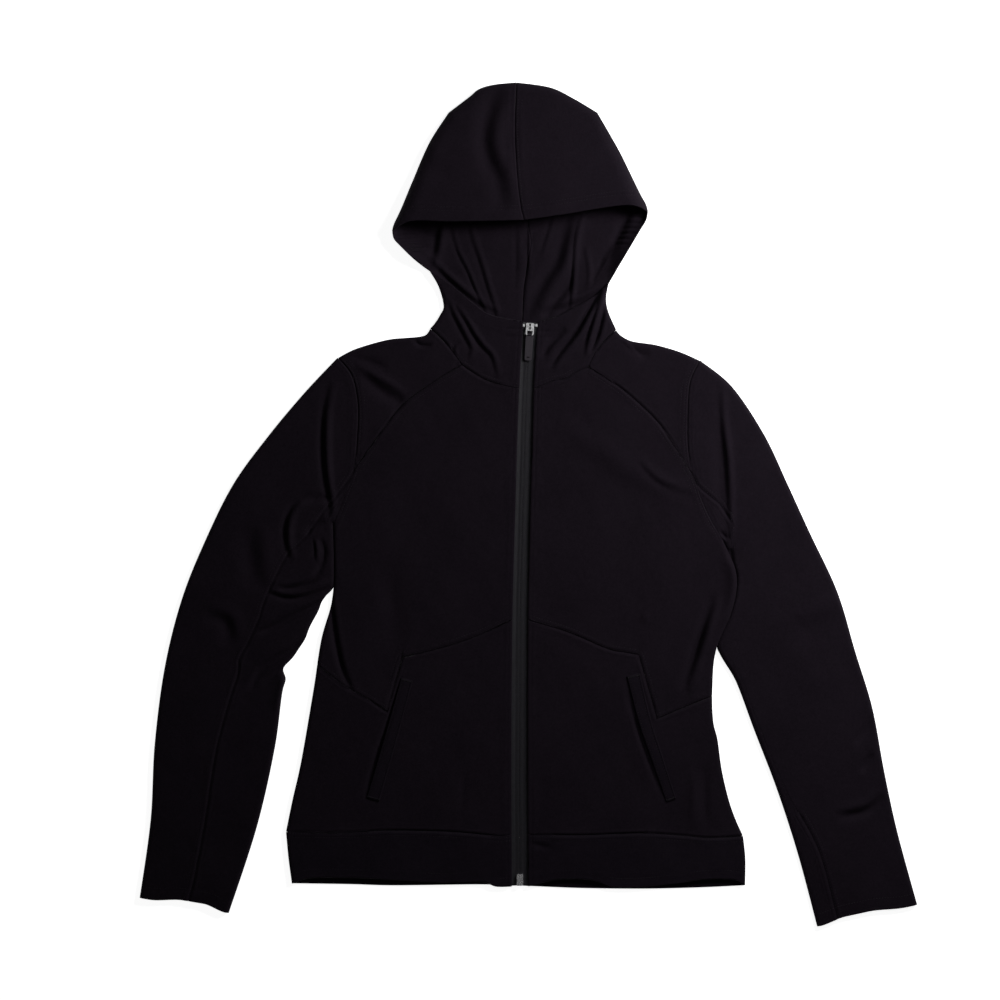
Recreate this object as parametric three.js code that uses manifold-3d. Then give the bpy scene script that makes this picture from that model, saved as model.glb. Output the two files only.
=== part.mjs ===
import * as THREE from "three";
import { mergeVertices } from "three/addons/utils/BufferGeometryUtils.js";
import Module from "manifold-3d";

// A zip up hoodie in stretch knit, laid flat on its back. Millimetres, +Y towards the hood, +Z up.
// "right" and "left" are the wearer's, so right is at -X.

// Cloth
const cloth = 1.5; // wall thickness
const half = cloth / 2;
const seamGap = 0.3; // between two pieces that are sewn together
const rimHeight = 2.5; // middle of the cloth where it turns from front to back
const frontHeight = 5.0; // middle of the front layer's cloth
const frontRoll = 4.5; // how far in from an edge the front layer rounds over
const backRoll = 2.4; // the same for the back layer
const notchHalf = 1.5; // half the space between sleeve and side at the underarm
const sleeveClear = 3.6; // between the middles of sleeve and side below the underarm

// Zip
const edgeFromZip = 8.8; // centre line of the zip to a front edge
const tapeTuck = 3; // tape that runs on under the front
const tapeThick = 1.0;
const tapeDrop = 1.55; // middle of the front's cloth to the middle of the tape
const collarHeight = 6.2; // middle of the collar's cloth at its top edge

// The zip's centre line, from the hem to the top of the collar.
const zipLine = [
  { y: -421, x: -9.4 },
  { y: -281, x: -9.9 },
  { y: -127, x: -9.2 },
  { y: 5, x: -6 },
  { y: 128, x: -2.2 },
  { y: 202, x: 2.2 },
];

// Where the seams meet and turn, on each side of the garment as it lies.
const marks = {
  right: {
    crownCorner: [-87.5, 430.7],
    hoodCorner: [-149, 299.8],
    mouthSide: [-108.4, 256.9],
    neckSide: [-109.3, 190.5],
    neckYoke: [-78.7, 153.5],
    shoulderTip: [-209.6, 161.2],
    yokeArm: [-192, 38],
    underarm: [-215, -21.5],
    waistSide: [-234.9, -175.5],
    pocketFoot: [-156.8, -228.3],
    pocketCorner: [-139, -168],
    hemSide: [-266.8, -360.3],
    bandSide: [-260.2, -417.5],
  },
  left: {
    crownCorner: [75.4, 430.7],
    hoodCorner: [131.8, 320.8],
    mouthSide: [87.5, 242.6],
    neckSide: [96.3, 192],
    neckYoke: [66, 151.3],
    shoulderTip: [188.2, 158.2],
    yokeArm: [182, 30.3],
    underarm: [215, -41.3],
    waistSide: [202, -210.7],
    pocketFoot: [141.4, -236],
    pocketCorner: [121, -165.5],
    hemSide: [236, -364.7],
    bandSide: [238.2, -419.7],
  },
};
const crownTop = [-9.9, 463.5];
const forehead = [-5, 310.8];
const backNeck = [-8.3, 175.5];
const heights = { mouth: 201.5, neck: 127.5, waist: -127, hem: -363, band: -420.5 };

// The points between the marks, in the order that each line runs.
const lines = {
  right: {
    crown: [[-64.2, 448.6], [-54, 456.8], [-38, 461.6]],
    hoodSide: [[-108.4, 397.7], [-127, 354.8], [-139, 324]],
    mouthEdge: [[-141.4, 284.4], [-123.8, 267.5]],
    neckFold: [[-98.5, 240], [-93, 219], [-97, 208.5], [-103.5, 198.5]],
    foreheadEdge: [[-128, 309.7], [-80.9, 309.2]],
    collarTop: [[-84.7, 240.9], [-61, 221.7], [-41.7, 208.8]],
    neckSeam: [[-91.9, 174.4]],
    neckFront: [[-53.4, 137]],
    shoulder: [[-116, 186.6], [-134.8, 183.6], [-156.8, 180.8], [-190, 171.2]],
    armhole: [[-194.2, 141.4], [-187.6, 109.5], [-188.7, 71], [-192, 38], [-201.9, 10.5]],
    yoke: [[-163.4, 78.7], [-139.2, 109.5], [-108.4, 132.6]],
    side: [[-215, -96.3], [-228, -149], [-236.2, -202], [-249.8, -281], [-259.6, -325]],
    waistSide: [[-194, -204]],
    waistFront: [[-73, -150]],
    hem: [[-211.8, -361]],
    bandSide: [[-264, -390]],
    bandFoot: [[-156, -417]],
  },
  left: {
    crown: [[50, 446], [23.7, 458.5]],
    hoodSide: [[88.6, 407.6], [103, 381], [122, 342]],
    mouthEdge: [[122.7, 302], [107.3, 275.6]],
    neckFold: [[84.8, 228], [87.5, 212]],
    foreheadEdge: [[105, 327], [34.7, 316.4]],
    collarTop: [[72.7, 229.4], [51.2, 217.3], [30, 206.8]],
    neckSeam: [[80.5, 171]],
    neckFront: [[40.2, 138]],
    shoulder: [[100.4, 186.6], [114, 179.5], [140, 175.5], [166, 168]],
    armhole: [[177.7, 134.8], [175, 98.5], [175.7, 60], [182, 30.3], [196, -8]],
    yoke: [[147.5, 83.7], [122.7, 110], [95, 132.8]],
    side: [
      [229, -77.6], [224, -116], [206.3, -160], [202.2, -204],
      [203.2, -238], [208, -259], [212.8, -293], [220.5, -325.5], [228, -347],
    ],
    waistSide: [[174, -222]],
    waistFront: [[62, -148.5]],
    hem: [[188.7, -361]],
    bandSide: [[238.6, -390]],
    bandFoot: [[190, -420.6], [120, -419.6]],
  },
};

// Sections of each sleeve, from the armhole to the cuff. outer and inner are its two edges, and
// seam is the front seam's share of the way from the outer edge to the inner one.
const sleeveSections = {
  right: [
    { outer: [-209.6, 161.2], inner: [-215, -21.5], seam: 0.685 },
    { outer: [-245.9, 122.7], inner: [-217, -52], seam: 0.69 },
    { outer: [-285.5, 75.4], inner: [-217.5, -79], seam: 0.66 },
    { outer: [-324, 22.6], inner: [-221.5, -101], seam: 0.61 },
    { outer: [-354.8, -39], inner: [-236, -124.5], seam: 0.6 },
    { outer: [-381.2, -105], inner: [-252.5, -155], seam: 0.57 },
    { outer: [-399.9, -179.9], inner: [-269.5, -196], seam: 0.59 },
    { outer: [-410.9, -264.6], inner: [-280, -268], seam: 0.53 },
    { outer: [-415.3, -347], inner: [-299.8, -355], seam: 0.53 },
    { outer: [-427.3, -432.9], inner: [-330.6, -449.4], seam: 0.66 },
  ],
  left: [
    { outer: [188.2, 158.2], inner: [215, -41.3], seam: 0.655 },
    { outer: [223.8, 129], inner: [229, -62], seam: 0.7 },
    { outer: [259.2, 76], inner: [231, -84], seam: 0.86 },
    { outer: [284.4, 22.6], inner: [229, -112], seam: 0.912 },
    { outer: [308.6, -30.3], inner: [219, -139], seam: 0.912 },
    { outer: [339.4, -96.3], inner: [211, -161.2], seam: 0.912 },
    { outer: [359.2, -162.3], inner: [229.4, -195.3], seam: 0.912 },
    { outer: [377.9, -223.9], inner: [249.2, -248.1], seam: 0.912 },
    { outer: [391.1, -294.3], inner: [274.5, -314.1], seam: 0.912 },
    { outer: [405.4, -360.3], inner: [297.6, -385.6], seam: 0.88 },
    { outer: [427.3, -440.6], inner: [318.5, -464.2], seam: 0.88 },
  ],
};
const backSeam = { right: 0.4, left: 0.14 }; // the sleeve's back seam, as its share from the outer edge

// The hood's outer edge from the crown's corner down to the neck. lift is the height of the
// cloth's middle there, top and floor how far in the two layers round over to it.
const hoodEdge = [
  { at: 0, lift: 3.6, top: 9, floor: 6 },
  { at: 0.25, lift: 6.5, top: 13, floor: 12 },
  { at: 0.5, lift: 13, top: 16, floor: 22 },
  { at: 0.62, lift: 13.5, top: 16, floor: 24 },
  { at: 0.74, lift: 7, top: 7, floor: 12 },
  { at: 0.86, lift: 3.2, top: 4.5, floor: 3.2 },
  { at: 1, lift: rimHeight, top: frontRoll, floor: backRoll },
];
const hoodCornerAt = 0.5;
const mouthSideAt = 0.74;
const crownHeights = { top: 9.5, forehead: 23 };

// The largest folds. Each runs from one point to the other, bowed sideways by bow, and stands
// high over the cloth, or lies in it where high is negative; steep is its sharper side.
const folds = [
  { name: "left waist", from: [222, -98], to: [172, -200], bow: 6, wide: 8, high: -2.3, steep: 1.6 },
  { name: "left waist ridge", from: [214, -96], to: [184, -192], bow: 6, wide: 9, high: 3, steep: 1 },
  { name: "right side", from: [-212, -100], to: [-190, -212], bow: -9, wide: 5, high: -2.3, steep: 1.5 },
  { name: "right armpit", from: [-232, 126], to: [-232, 0], bow: 2, wide: 8, high: -2.3, steep: 1.5 },
  { name: "right cap", from: [-209, 140], to: [-212, 4], bow: -2, wide: 11, high: 4, steep: 1.2 },
  { name: "armpit loop", from: [-222, 4], to: [-262, -52], bow: -22, wide: 8, high: 6, steep: 1.5 },
  { name: "armpit loop low", from: [-222, -60], to: [-292, -104], bow: 12, wide: 7, high: 5, steep: 1.6 },
  { name: "upper elbow", from: [-234, -110], to: [-300, -160], bow: 6, wide: 8, high: 4.5, steep: 1.5 },
  { name: "elbow", from: [-262, -160], to: [-306, -206], bow: 4, wide: 8, high: -2.3, steep: 1.5 },
  { name: "left armpit", from: [214, 130], to: [222, -34], bow: 3, wide: 6, high: 4, steep: 2 },
  { name: "left elbow", from: [378, -236], to: [330, -342], bow: -16, wide: 9, high: 4, steep: 1.4 },
  { name: "left elbow low", from: [392, -276], to: [352, -330], bow: -8, wide: 7, high: -2.2, steep: 1.4 },
  { name: "right shoulder", from: [-196, 150], to: [-140, 116], bow: 3, wide: 12, high: -2, steep: 1 },
  { name: "left chest", from: [30, 84], to: [176, 10], bow: 8, wide: 15, high: 2, steep: 1 },
];
const crownFolds = [
  { name: "crown valley", from: [-33, 452], to: [-22, 322], bow: -8, wide: 10, high: -4, steep: 1.3 },
];
const collarFolds = [
  { name: "right collar outer", from: [-84, 228], to: [-64, 168], bow: 3, wide: 5, high: 4, steep: 1.6 },
  { name: "right collar inner", from: [-76, 220], to: [-34, 138], bow: -5, wide: 6, high: 3.6, steep: 1.6 },
  { name: "left collar outer", from: [82, 214], to: [66, 162], bow: -3, wide: 5, high: 4, steep: 1.6 },
  { name: "left collar inner", from: [74, 220], to: [32, 158], bow: 4, wide: 6, high: 3.4, steep: 1.6 },
];
const liningFolds = [
  { name: "right back of hood", from: [-80, 286], to: [-56, 226], bow: 2, wide: 6, high: 4, steep: 1.6 },
  { name: "right inner", from: [-62, 294], to: [-32, 214], bow: 3, wide: 6, high: 4.5, steep: 1.5 },
  { name: "left inner", from: [42, 296], to: [4, 212], bow: -6, wide: 8, high: 5.5, steep: 1.5 },
  { name: "left back of hood", from: [58, 290], to: [48, 238], bow: 3, wide: 7, high: 5, steep: 1.6 },
];

// Small arithmetic
const clamp = (value) => Math.min(1, Math.max(0, value));
const mix = (a, b, share) => a + (b - a) * share;
const smooth = (low, high, value) => {
  const share = clamp((value - low) / (high - low));
  return share * share * (3 - 2 * share);
};
const even = (count) => Array.from({ length: count + 1 }, (_, i) => i / count);
const rounded = (share) => Math.sqrt(1 - (1 - clamp(share)) ** 2);

// A column of a table, read between its rows.
function tabled(rows, key, column, at) {
  const next = rows.findIndex((row) => row[key] >= at);
  if (next === 0) return rows[0][column];
  if (next < 0) return rows[rows.length - 1][column];
  const [low, high] = [rows[next - 1], rows[next]];
  return mix(low[column], high[column], smooth(low[key], high[key], at));
}

// Curves are functions of a share of their length that give a point in plan.
function curve(points) {
  const spline = new THREE.SplineCurve(points.map(([x, y]) => new THREE.Vector2(x, y)));
  spline.arcLengthDivisions = 120;
  return (share) => spline.getPointAt(clamp(share));
}
// Several curves end to end: each is given with the share at which it ends.
function chain(...stretches) {
  return (share) => {
    let start = 0;
    for (const [path, end] of stretches) {
      if (share <= end) return path((share - start) / (end - start));
      start = end;
    }
    return stretches[stretches.length - 1][0](1);
  };
}
const reversed = (path) => (share) => path(1 - share);
const part = (path, from, to) => (share) => path(mix(from, to, share));
const shares = (list, from, to) => list.map((share) => mix(from, to, share));
const joined = (...lists) => lists.flatMap((list, i) => (i ? list.slice(1) : list));

// The zip's centre line, as x at a height y.
const zipSpline = new THREE.SplineCurve(zipLine.map((row) => new THREE.Vector2(row.x, row.y)));
const zipSamples = even(200).map((share) => zipSpline.getPoint(share));
function zipCentre(y) {
  const next = Math.max(1, zipSamples.findIndex((sample) => sample.y >= y));
  const [low, high] = [zipSamples[next - 1], zipSamples[next]];
  return mix(low.x, high.x, clamp((y - low.y) / (high.y - low.y)));
}

// The seams and edges of one side, as curves in plan.
function outlines(side) {
  const away = side === "left" ? 1 : -1;
  const at = marks[side];
  const via = lines[side];
  const atZip = (y) => [zipCentre(y) + away * edgeFromZip, y];
  const armhole = curve([at.shoulderTip, ...via.armhole, at.underarm]);
  const opened = (shift) => (share) => {
    const point = armhole(share);
    point.x += shift * smooth(0.93, 1, share);
    return point;
  };
  const bodySide = at.underarm[0] - away * notchHalf;
  return {
    away,
    crown: curve([at.crownCorner, ...via.crown, crownTop]),
    hoodSide: curve([at.crownCorner, ...via.hoodSide, at.hoodCorner]),
    mouthEdge: curve([at.hoodCorner, ...via.mouthEdge, at.mouthSide]),
    neckFold: curve([at.mouthSide, ...via.neckFold, [at.neckSide[0], at.neckSide[1] + seamGap]]),
    foreheadEdge: curve([at.hoodCorner, ...via.foreheadEdge, forehead]),
    crownSeam: curve([crownTop, [-10.4, 400], [-8, 350], forehead]),
    liningSeam: curve([crownTop, [-5, 300], [-6.5, 215], backNeck]),
    collarTop: curve([at.mouthSide, ...via.collarTop, atZip(heights.mouth)]),
    neckSeam: curve([at.neckSide, ...via.neckSeam, at.neckYoke]),
    neckFront: curve([at.neckYoke, ...via.neckFront, atZip(heights.neck)]),
    backNeck: curve([at.neckSide, [mix(at.neckSide[0], backNeck[0], 0.5), 180], backNeck]),
    shoulder: curve([at.neckSide, ...via.shoulder, at.shoulderTip]),
    armholeBody: opened(-away * notchHalf),
    armholeSleeve: opened(away * notchHalf),
    yoke: curve([at.yokeArm, ...via.yoke, at.neckYoke]),
    side: curve([[bodySide, at.underarm[1]], ...via.side, at.hemSide]),
    waist: chain(
      [curve([at.waistSide, ...via.waistSide, at.pocketFoot]), 0.38],
      [curve([at.pocketFoot, at.pocketCorner]), 0.6],
      [curve([at.pocketCorner, ...via.waistFront, atZip(heights.waist)]), 1],
    ),
    hem: curve([at.hemSide, ...via.hem, atZip(heights.hem)]),
    bandSide: curve([at.hemSide, ...via.bandSide, at.bandSide]),
    bandFoot: curve([at.bandSide, ...via.bandFoot, atZip(heights.band)]),
    alongZip: (from, to) => (share) => new THREE.Vector2(...atZip(mix(from, to, share))),
  };
}
const plan = { right: outlines("right"), left: outlines("left") };

// Where a side curve passes a height, and the share of its length there.
function crossing(path, y) {
  const steps = even(160).map((share) => [share, path(share)]);
  const next = Math.max(1, steps.findIndex(([, point]) => point.y <= y));
  const [[lowShare, low], [highShare, high]] = [steps[next - 1], steps[next]];
  const share = clamp((low.y - y) / (low.y - high.y));
  return { share: mix(lowShare, highShare, share), x: mix(low.x, high.x, share) };
}

// The share of the armhole's length at which the yoke seam meets it.
const yokeArmAt = (side) => crossing(plan[side].armholeBody, marks[side].yokeArm[1]).share;

// A sleeve in plan: station runs from armhole to cuff, across from the outer edge to the inner.
function sleevePlan(side) {
  const { away, armholeSleeve, side: bodySide } = plan[side];
  const rows = sleeveSections[side];
  const edge = (name) => new THREE.SplineCurve(rows.map((row) => new THREE.Vector2(...row[name])));
  const [outer, inner] = [edge("outer"), edge("inner")];
  const underarmY = marks[side].underarm[1];
  const innerAt = (station) => {
    const point = inner.getPoint(station);
    const beside = crossing(bodySide, point.y).x;
    const clear = mix(2 * notchHalf, sleeveClear, smooth(0, 15, underarmY - point.y));
    point.x = away * Math.max(away * point.x, away * beside + clear);
    return point;
  };
  const seamPoints = rows.map((row, i) => new THREE.Vector2(i, i ? row.seam : yokeArmAt(side)));
  const seam = new THREE.SplineCurve(seamPoints);
  return {
    outerAt: (station) => outer.getPoint(station),
    innerAt,
    seamAt: (station) => seam.getPoint(station).y,
    at: (station, across) => {
      const [a, b] = [outer.getPoint(station), innerAt(station)];
      const [start, end] = [outer.getPoint(0), innerAt(0)];
      const straight = start.clone().lerp(end, across);
      const fade = mix(0.32, 0.05, smooth(0.55, 0.95, across));
      const bowed = armholeSleeve(across).sub(straight).multiplyScalar((1 - smooth(0, fade, station)) ** 2);
      return a.clone().lerp(b, across).add(bowed);
    },
  };
}
const sleeves = { right: sleevePlan("right"), left: sleevePlan("left") };

// Every line in plan where the cloth turns from the front layer to the back one.
const turned = ["right", "left"].flatMap((side) => {
  const on = plan[side];
  const sleeve = sleeves[side];
  return [
    on.crown, on.hoodSide, on.mouthEdge, on.neckFold, on.shoulder, on.side, on.bandSide,
    sleeve.outerAt, sleeve.innerAt,
  ];
}).map((path) => even(48).map((share) => path(share)));

// The distance in plan from a point to the nearest of those lines.
function fromEdge(x, y) {
  let best = Infinity;
  for (const line of turned)
    for (let i = 1; i < line.length; i += 1) {
      const [a, b] = [line[i - 1], line[i]];
      const [dx, dy] = [b.x - a.x, b.y - a.y];
      const share = clamp(((x - a.x) * dx + (y - a.y) * dy) / (dx * dx + dy * dy || 1));
      best = Math.min(best, Math.hypot(x - a.x - share * dx, y - a.y - share * dy));
    }
  return best;
}

// The height that a table of folds adds at a point in plan.
function foldHeight(table, x, y) {
  return table.reduce((sum, { from, to, bow, wide, high, steep }) => {
    const [dx, dy] = [to[0] - from[0], to[1] - from[1]];
    const long = Math.hypot(dx, dy);
    const along = ((x - from[0]) * dx + (y - from[1]) * dy) / (long * long);
    if (along <= 0 || along >= 1) return sum;
    const off = ((x - from[0]) * -dy + (y - from[1]) * dx) / long - bow * 4 * along * (1 - along);
    const across = off > 0 ? off * steep : off;
    return sum + high * Math.sin(Math.PI * along) ** 0.7 * Math.exp(-((across / wide) ** 2));
  }, 0);
}

// Heights of the cloth's middle in the two layers of body and sleeves, and where both end.
function frontZ(x, y) {
  const share = rounded(fromEdge(x, y) / frontRoll);
  return mix(rimHeight, frontHeight + foldHeight(folds, x, y), share);
}
function backZ(x, y) {
  return mix(rimHeight, half, rounded(fromEdge(x, y) / backRoll));
}
const rimZ = () => rimHeight;

// A four-sided patch in plan between its edge curves: across runs 0 to 1 from left edge to right
// edge and down 0 to 1 from top edge to bottom edge, which is a Coons patch.
function between({ top, bottom, left, right }) {
  const [a, b, c, d] = [top(0), top(1), bottom(0), bottom(1)];
  return (across, down) => {
    const [t, m, l, r] = [top(across), bottom(across), left(down), right(down)];
    const [u, v] = [across, down];
    const blend = (k) =>
      (1 - v) * t[k] + v * m[k] + (1 - u) * l[k] + u * r[k]
      - (1 - u) * (1 - v) * a[k] - u * (1 - v) * b[k] - (1 - u) * v * c[k] - u * v * d[k];
    return [blend("x"), blend("y")];
  };
}

// A sheet of points: place gives [x, y] and raise gives z. rim says where the cloth turns over,
// at the height that turn gives. faceDown marks the back layer, whose outer side looks down.
function sheet({ across, down, place, raise, rim = () => false, turn = rimZ, faceDown = false }) {
  const rows = down.map((v) =>
    across.map((step) => {
      const u = typeof step === "function" ? step(v) : step;
      const [x, y] = place(u, v);
      const z = rim(u, v) ? turn(u, v) : raise(x, y, u, v);
      return { x, y, z, level: rim(u, v) && z === rimHeight };
    }),
  );
  return { rows, faceDown };
}

// Sheets that share edge points become one wall of cloth, cut back by half a seam gap all round.
function walled(sheets, thickness = cloth) {
  const points = [];
  const found = new Map();
  const index = (point) => {
    const key = [point.x, point.y, point.z].map((value) => Math.round(value * 200)).join();
    if (!found.has(key)) {
      found.set(key, points.length);
      points.push({ at: new THREE.Vector3(point.x, point.y, point.z), level: point.level });
    }
    return found.get(key);
  };
  const faces = [];
  for (const { rows, faceDown } of sheets) {
    const ids = rows.map((row) => row.map(index));
    let turn = 0;
    const quads = [];
    for (let i = 1; i < ids.length; i += 1)
      for (let j = 1; j < ids[i].length; j += 1) {
        const quad = [ids[i - 1][j - 1], ids[i - 1][j], ids[i][j], ids[i][j - 1]];
        const [a, b, c, d] = quad.map((id) => points[id].at);
        turn += (c.x - a.x) * (d.y - b.y) - (c.y - a.y) * (d.x - b.x);
        quads.push(quad);
      }
    const backwards = turn < 0 !== faceDown;
    for (const quad of quads) {
      const [a, b, c, d] = backwards ? [...quad].reverse() : quad;
      const short = points[a].at.distanceTo(points[c].at) <= points[b].at.distanceTo(points[d].at);
      const pair = short ? [[a, b, c], [a, c, d]] : [[a, b, d], [b, c, d]];
      faces.push(...pair.filter((face) => new Set(face).size === 3));
    }
  }
  const edges = new Map();
  for (const face of faces)
    face.forEach((from, i) => {
      const to = face[(i + 1) % 3];
      const twin = `${to},${from}`;
      if (edges.has(twin)) edges.delete(twin);
      else edges.set(`${from},${to}`, { from, to, face });
    });
  cutBack(points, [...edges.values()], seamGap / 2);
  const normals = normalsOf(points, faces);
  const vertices = [];
  for (const side of [1, -1])
    points.forEach(({ at }, i) => {
      const vertex = at.clone().addScaledVector(normals[i], (side * thickness) / 2);
      vertex.z = Math.max(vertex.z, 0);
      vertices.push(vertex);
    });
  const under = points.length;
  const all = [
    ...faces,
    ...faces.map(([a, b, c]) => [c + under, b + under, a + under]),
    ...[...edges.values()].flatMap(({ from, to }) => [
      [to, from, from + under],
      [to, from + under, to + under],
    ]),
  ];
  const geometry = new THREE.BufferGeometry();
  const places = vertices.flatMap((vertex) => vertex.toArray());
  geometry.setAttribute("position", new THREE.Float32BufferAttribute(places, 3));
  geometry.setIndex(all.flat());
  geometry.computeVertexNormals();
  return geometry;
}

function faceNormal(points, [a, b, c]) {
  const first = points[b].at.clone().sub(points[a].at);
  return first.cross(points[c].at.clone().sub(points[a].at));
}

// Moves each free edge inwards along the cloth, and a corner so that both its edges move alike.
function cutBack(points, edges, distance) {
  const inwards = new Map();
  for (const { from, to, face } of edges) {
    const run = points[to].at.clone().sub(points[from].at).normalize();
    const inward = faceNormal(points, face).normalize().cross(run).normalize();
    for (const id of [from, to]) inwards.set(id, [...(inwards.get(id) || []), inward]);
  }
  for (const [id, [one, two = one]] of inwards) {
    const shift = one.clone().add(two).multiplyScalar(distance / Math.max(0.4, 1 + one.dot(two)));
    points[id].at.add(shift);
  }
}

// One normal for each point, weighted by face area, and level where the cloth stands upright.
function normalsOf(points, faces) {
  const sums = points.map(() => new THREE.Vector3());
  for (const face of faces) {
    const normal = faceNormal(points, face);
    face.forEach((id) => sums[id].addScaledVector(normal, 1 / Math.max(normal.length(), 1e-9) ** 0.5));
  }
  return sums.map((sum, id) => {
    if (points[id].level) sum.z = 0;
    return sum.normalize();
  });
}

// Spacings across a patch: close together where the cloth rounds over an edge.
const closeSteps = [0, 0.1, 0.32, 0.68, 1];
const roundThen = (roll, count) => joined(shares(closeSteps, 0, roll), shares(even(count), roll, 1));
const capSteps = roundThen(0.045, 5);
const bodySteps = roundThen(0.025, 6);
const hoodColumns = roundThen(0.12, 4);
const evenSteps = even(bodySteps.length - 1);
const toSteps = (list, dense, from, to) =>
  list.map((step, i) => (v) => mix(step, dense[i], smooth(from, to, v)));

const yokeShare = 0.42; // down the front's outer edge: the yoke seam, then the armhole
const armShare = 0.56;
const seamRows = even(5);
// The same spacing from the yoke seam to the underarm serves front and sleeve.
const underSteps = [0, 0.35, 0.62, 0.82, 0.93, 0.98, 1];

// Shoulder yoke, from the neck seam to the armhole and from the shoulder to the yoke seam.
function yoke(side) {
  const on = plan[side];
  const armTo = yokeArmAt(side);
  return walled([
    sheet({
      across: seamRows,
      down: capSteps,
      place: between({
        top: reversed(on.shoulder),
        bottom: on.yoke,
        left: part(on.armholeBody, 0, armTo),
        right: on.neckSeam,
      }),
      raise: frontZ,
      rim: (u, v) => v === 0,
    }),
  ]);
}

// Upper front, from neck and yoke seam down to the waist seam.
function upperFront(side) {
  const on = plan[side];
  const armTo = yokeArmAt(side);
  const sideTo = crossing(on.side, marks[side].waistSide[1]).share;
  const outer = chain(
    [reversed(on.yoke), yokeShare],
    [part(on.armholeBody, armTo, 1), armShare],
    [part(on.side, 0, sideTo), 1],
  );
  return walled([
    sheet({
      across: toSteps(evenSteps, bodySteps, yokeShare, armShare),
      down: joined(
        shares(seamRows, 0, yokeShare),
        shares(underSteps, yokeShare, armShare),
        shares(even(6), armShare, 1),
      ),
      place: between({
        top: on.neckFront,
        bottom: on.waist,
        left: outer,
        right: on.alongZip(heights.neck, heights.waist),
      }),
      raise: frontZ,
      rim: (u, v) => u === 0 && v >= armShare,
    }),
  ]);
}

function lowerFront(side) {
  const on = plan[side];
  const sideFrom = crossing(on.side, marks[side].waistSide[1]).share;
  return walled([
    sheet({
      across: bodySteps,
      down: even(7),
      place: between({
        top: on.waist,
        bottom: on.hem,
        left: part(on.side, sideFrom, 1),
        right: on.alongZip(heights.waist, heights.hem),
      }),
      raise: frontZ,
      rim: (u) => u === 0,
    }),
  ]);
}

function frontBand(side) {
  const on = plan[side];
  return walled([
    sheet({
      across: bodySteps,
      down: even(3),
      place: between({
        top: on.hem,
        bottom: on.bandFoot,
        left: on.bandSide,
        right: on.alongZip(heights.hem, heights.band),
      }),
      raise: frontZ,
      rim: (u) => u === 0,
    }),
  ]);
}

// Both layers of the body run from one side to the other, so their steps are mirrored.
const mirrored = (list) => joined(shares(list, 0, 0.5), shares(list, 0, 0.5).map((s) => 1 - s).reverse());
const shoulderShare = 0.28; // across the back's top edge: the shoulder, then the neck
const backSeamShare = 0.15; // down the back's outer edge: the armhole to the sleeve's back seam,
const armholeShare = 0.36; // on to the underarm, then the side

function backPanel() {
  const { right, left } = plan;
  const outer = (side) =>
    chain(
      [part(plan[side].armholeBody, 0, backSeam[side]), backSeamShare],
      [part(plan[side].armholeBody, backSeam[side], 1), armholeShare],
      [plan[side].side, 1],
    );
  const topSteps = mirrored(
    joined(shares(even(3), 0, 2 * shoulderShare), shares(hoodColumns, 2 * shoulderShare, 1)),
  );
  const lowSteps = mirrored(roundThen(0.022, topSteps.length / 2 - 4.5));
  return walled([
    sheet({
      across: toSteps(topSteps, lowSteps, 0.1, armholeShare),
      down: joined(
        shares(backSteps, 0, backSeamShare),
        shares(backSteps, armholeShare, backSeamShare).reverse(),
        shares(even(12), armholeShare, 1),
      ),
      place: between({
        top: chain(
          [reversed(right.shoulder), shoulderShare],
          [right.backNeck, 0.5],
          [reversed(left.backNeck), 1 - shoulderShare],
          [left.shoulder, 1],
        ),
        bottom: chain([right.hem, 0.5], [reversed(left.hem), 1]),
        left: outer("right"),
        right: outer("left"),
      }),
      raise: backZ,
      rim: (u, v) => {
        const onShoulder = v === 0 && (u <= shoulderShare || u >= 1 - shoulderShare);
        const onSide = (u === 0 || u === 1) && v >= armholeShare;
        return onShoulder || onSide;
      },
      faceDown: true,
    }),
  ]);
}

const backBandFoot = [[-150, -419.5], [-60, -420], [-12, -419.6], [60, -422.8], [130, -423.4], [190, -422]];
function backBand() {
  const { right, left } = plan;
  return walled([
    sheet({
      across: mirrored(roundThen(0.022, 6)),
      down: even(2),
      place: between({
        top: chain([right.hem, 0.5], [reversed(left.hem), 1]),
        bottom: curve([marks.right.bandSide, ...backBandFoot, marks.left.bandSide]),
        left: right.bandSide,
        right: left.bandSide,
      }),
      raise: backZ,
      rim: (u) => u === 0 || u === 1,
      faceDown: true,
    }),
  ]);
}

// A sleeve is two pieces. Each goes round one of its edges, from the front seam to the back one.
const sleeveStations = even(20);
const backSteps = roundThen(0.07, 3);
function sleevePiece(side, { from, to, steps }) {
  const sleeve = sleeves[side];
  const layer = (seamShare, raise, faceDown) =>
    sheet({
      across: steps[faceDown ? "back" : "front"],
      down: sleeveStations,
      place: (u, v) => sleeve.at(v, mix(from, seamShare(v), u)).toArray(),
      raise,
      rim: (u) => u === 0,
      faceDown,
    });
  return walled([layer(to.front, frontZ, false), layer(to.back, backZ, true)]);
}
const upperSleeve = (side) =>
  sleevePiece(side, {
    from: 0,
    to: { front: sleeves[side].seamAt, back: () => backSeam[side] },
    steps: { front: capSteps, back: backSteps },
  });
const underSleeve = (side) =>
  sleevePiece(side, {
    from: 1,
    to: { front: sleeves[side].seamAt, back: () => backSeam[side] },
    steps: { front: underSteps.map((step) => 1 - step).reverse(), back: backSteps },
  });

const collarNeckShare = 0.42; // along the collar's foot: the yoke's neck seam, then the front's

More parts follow.
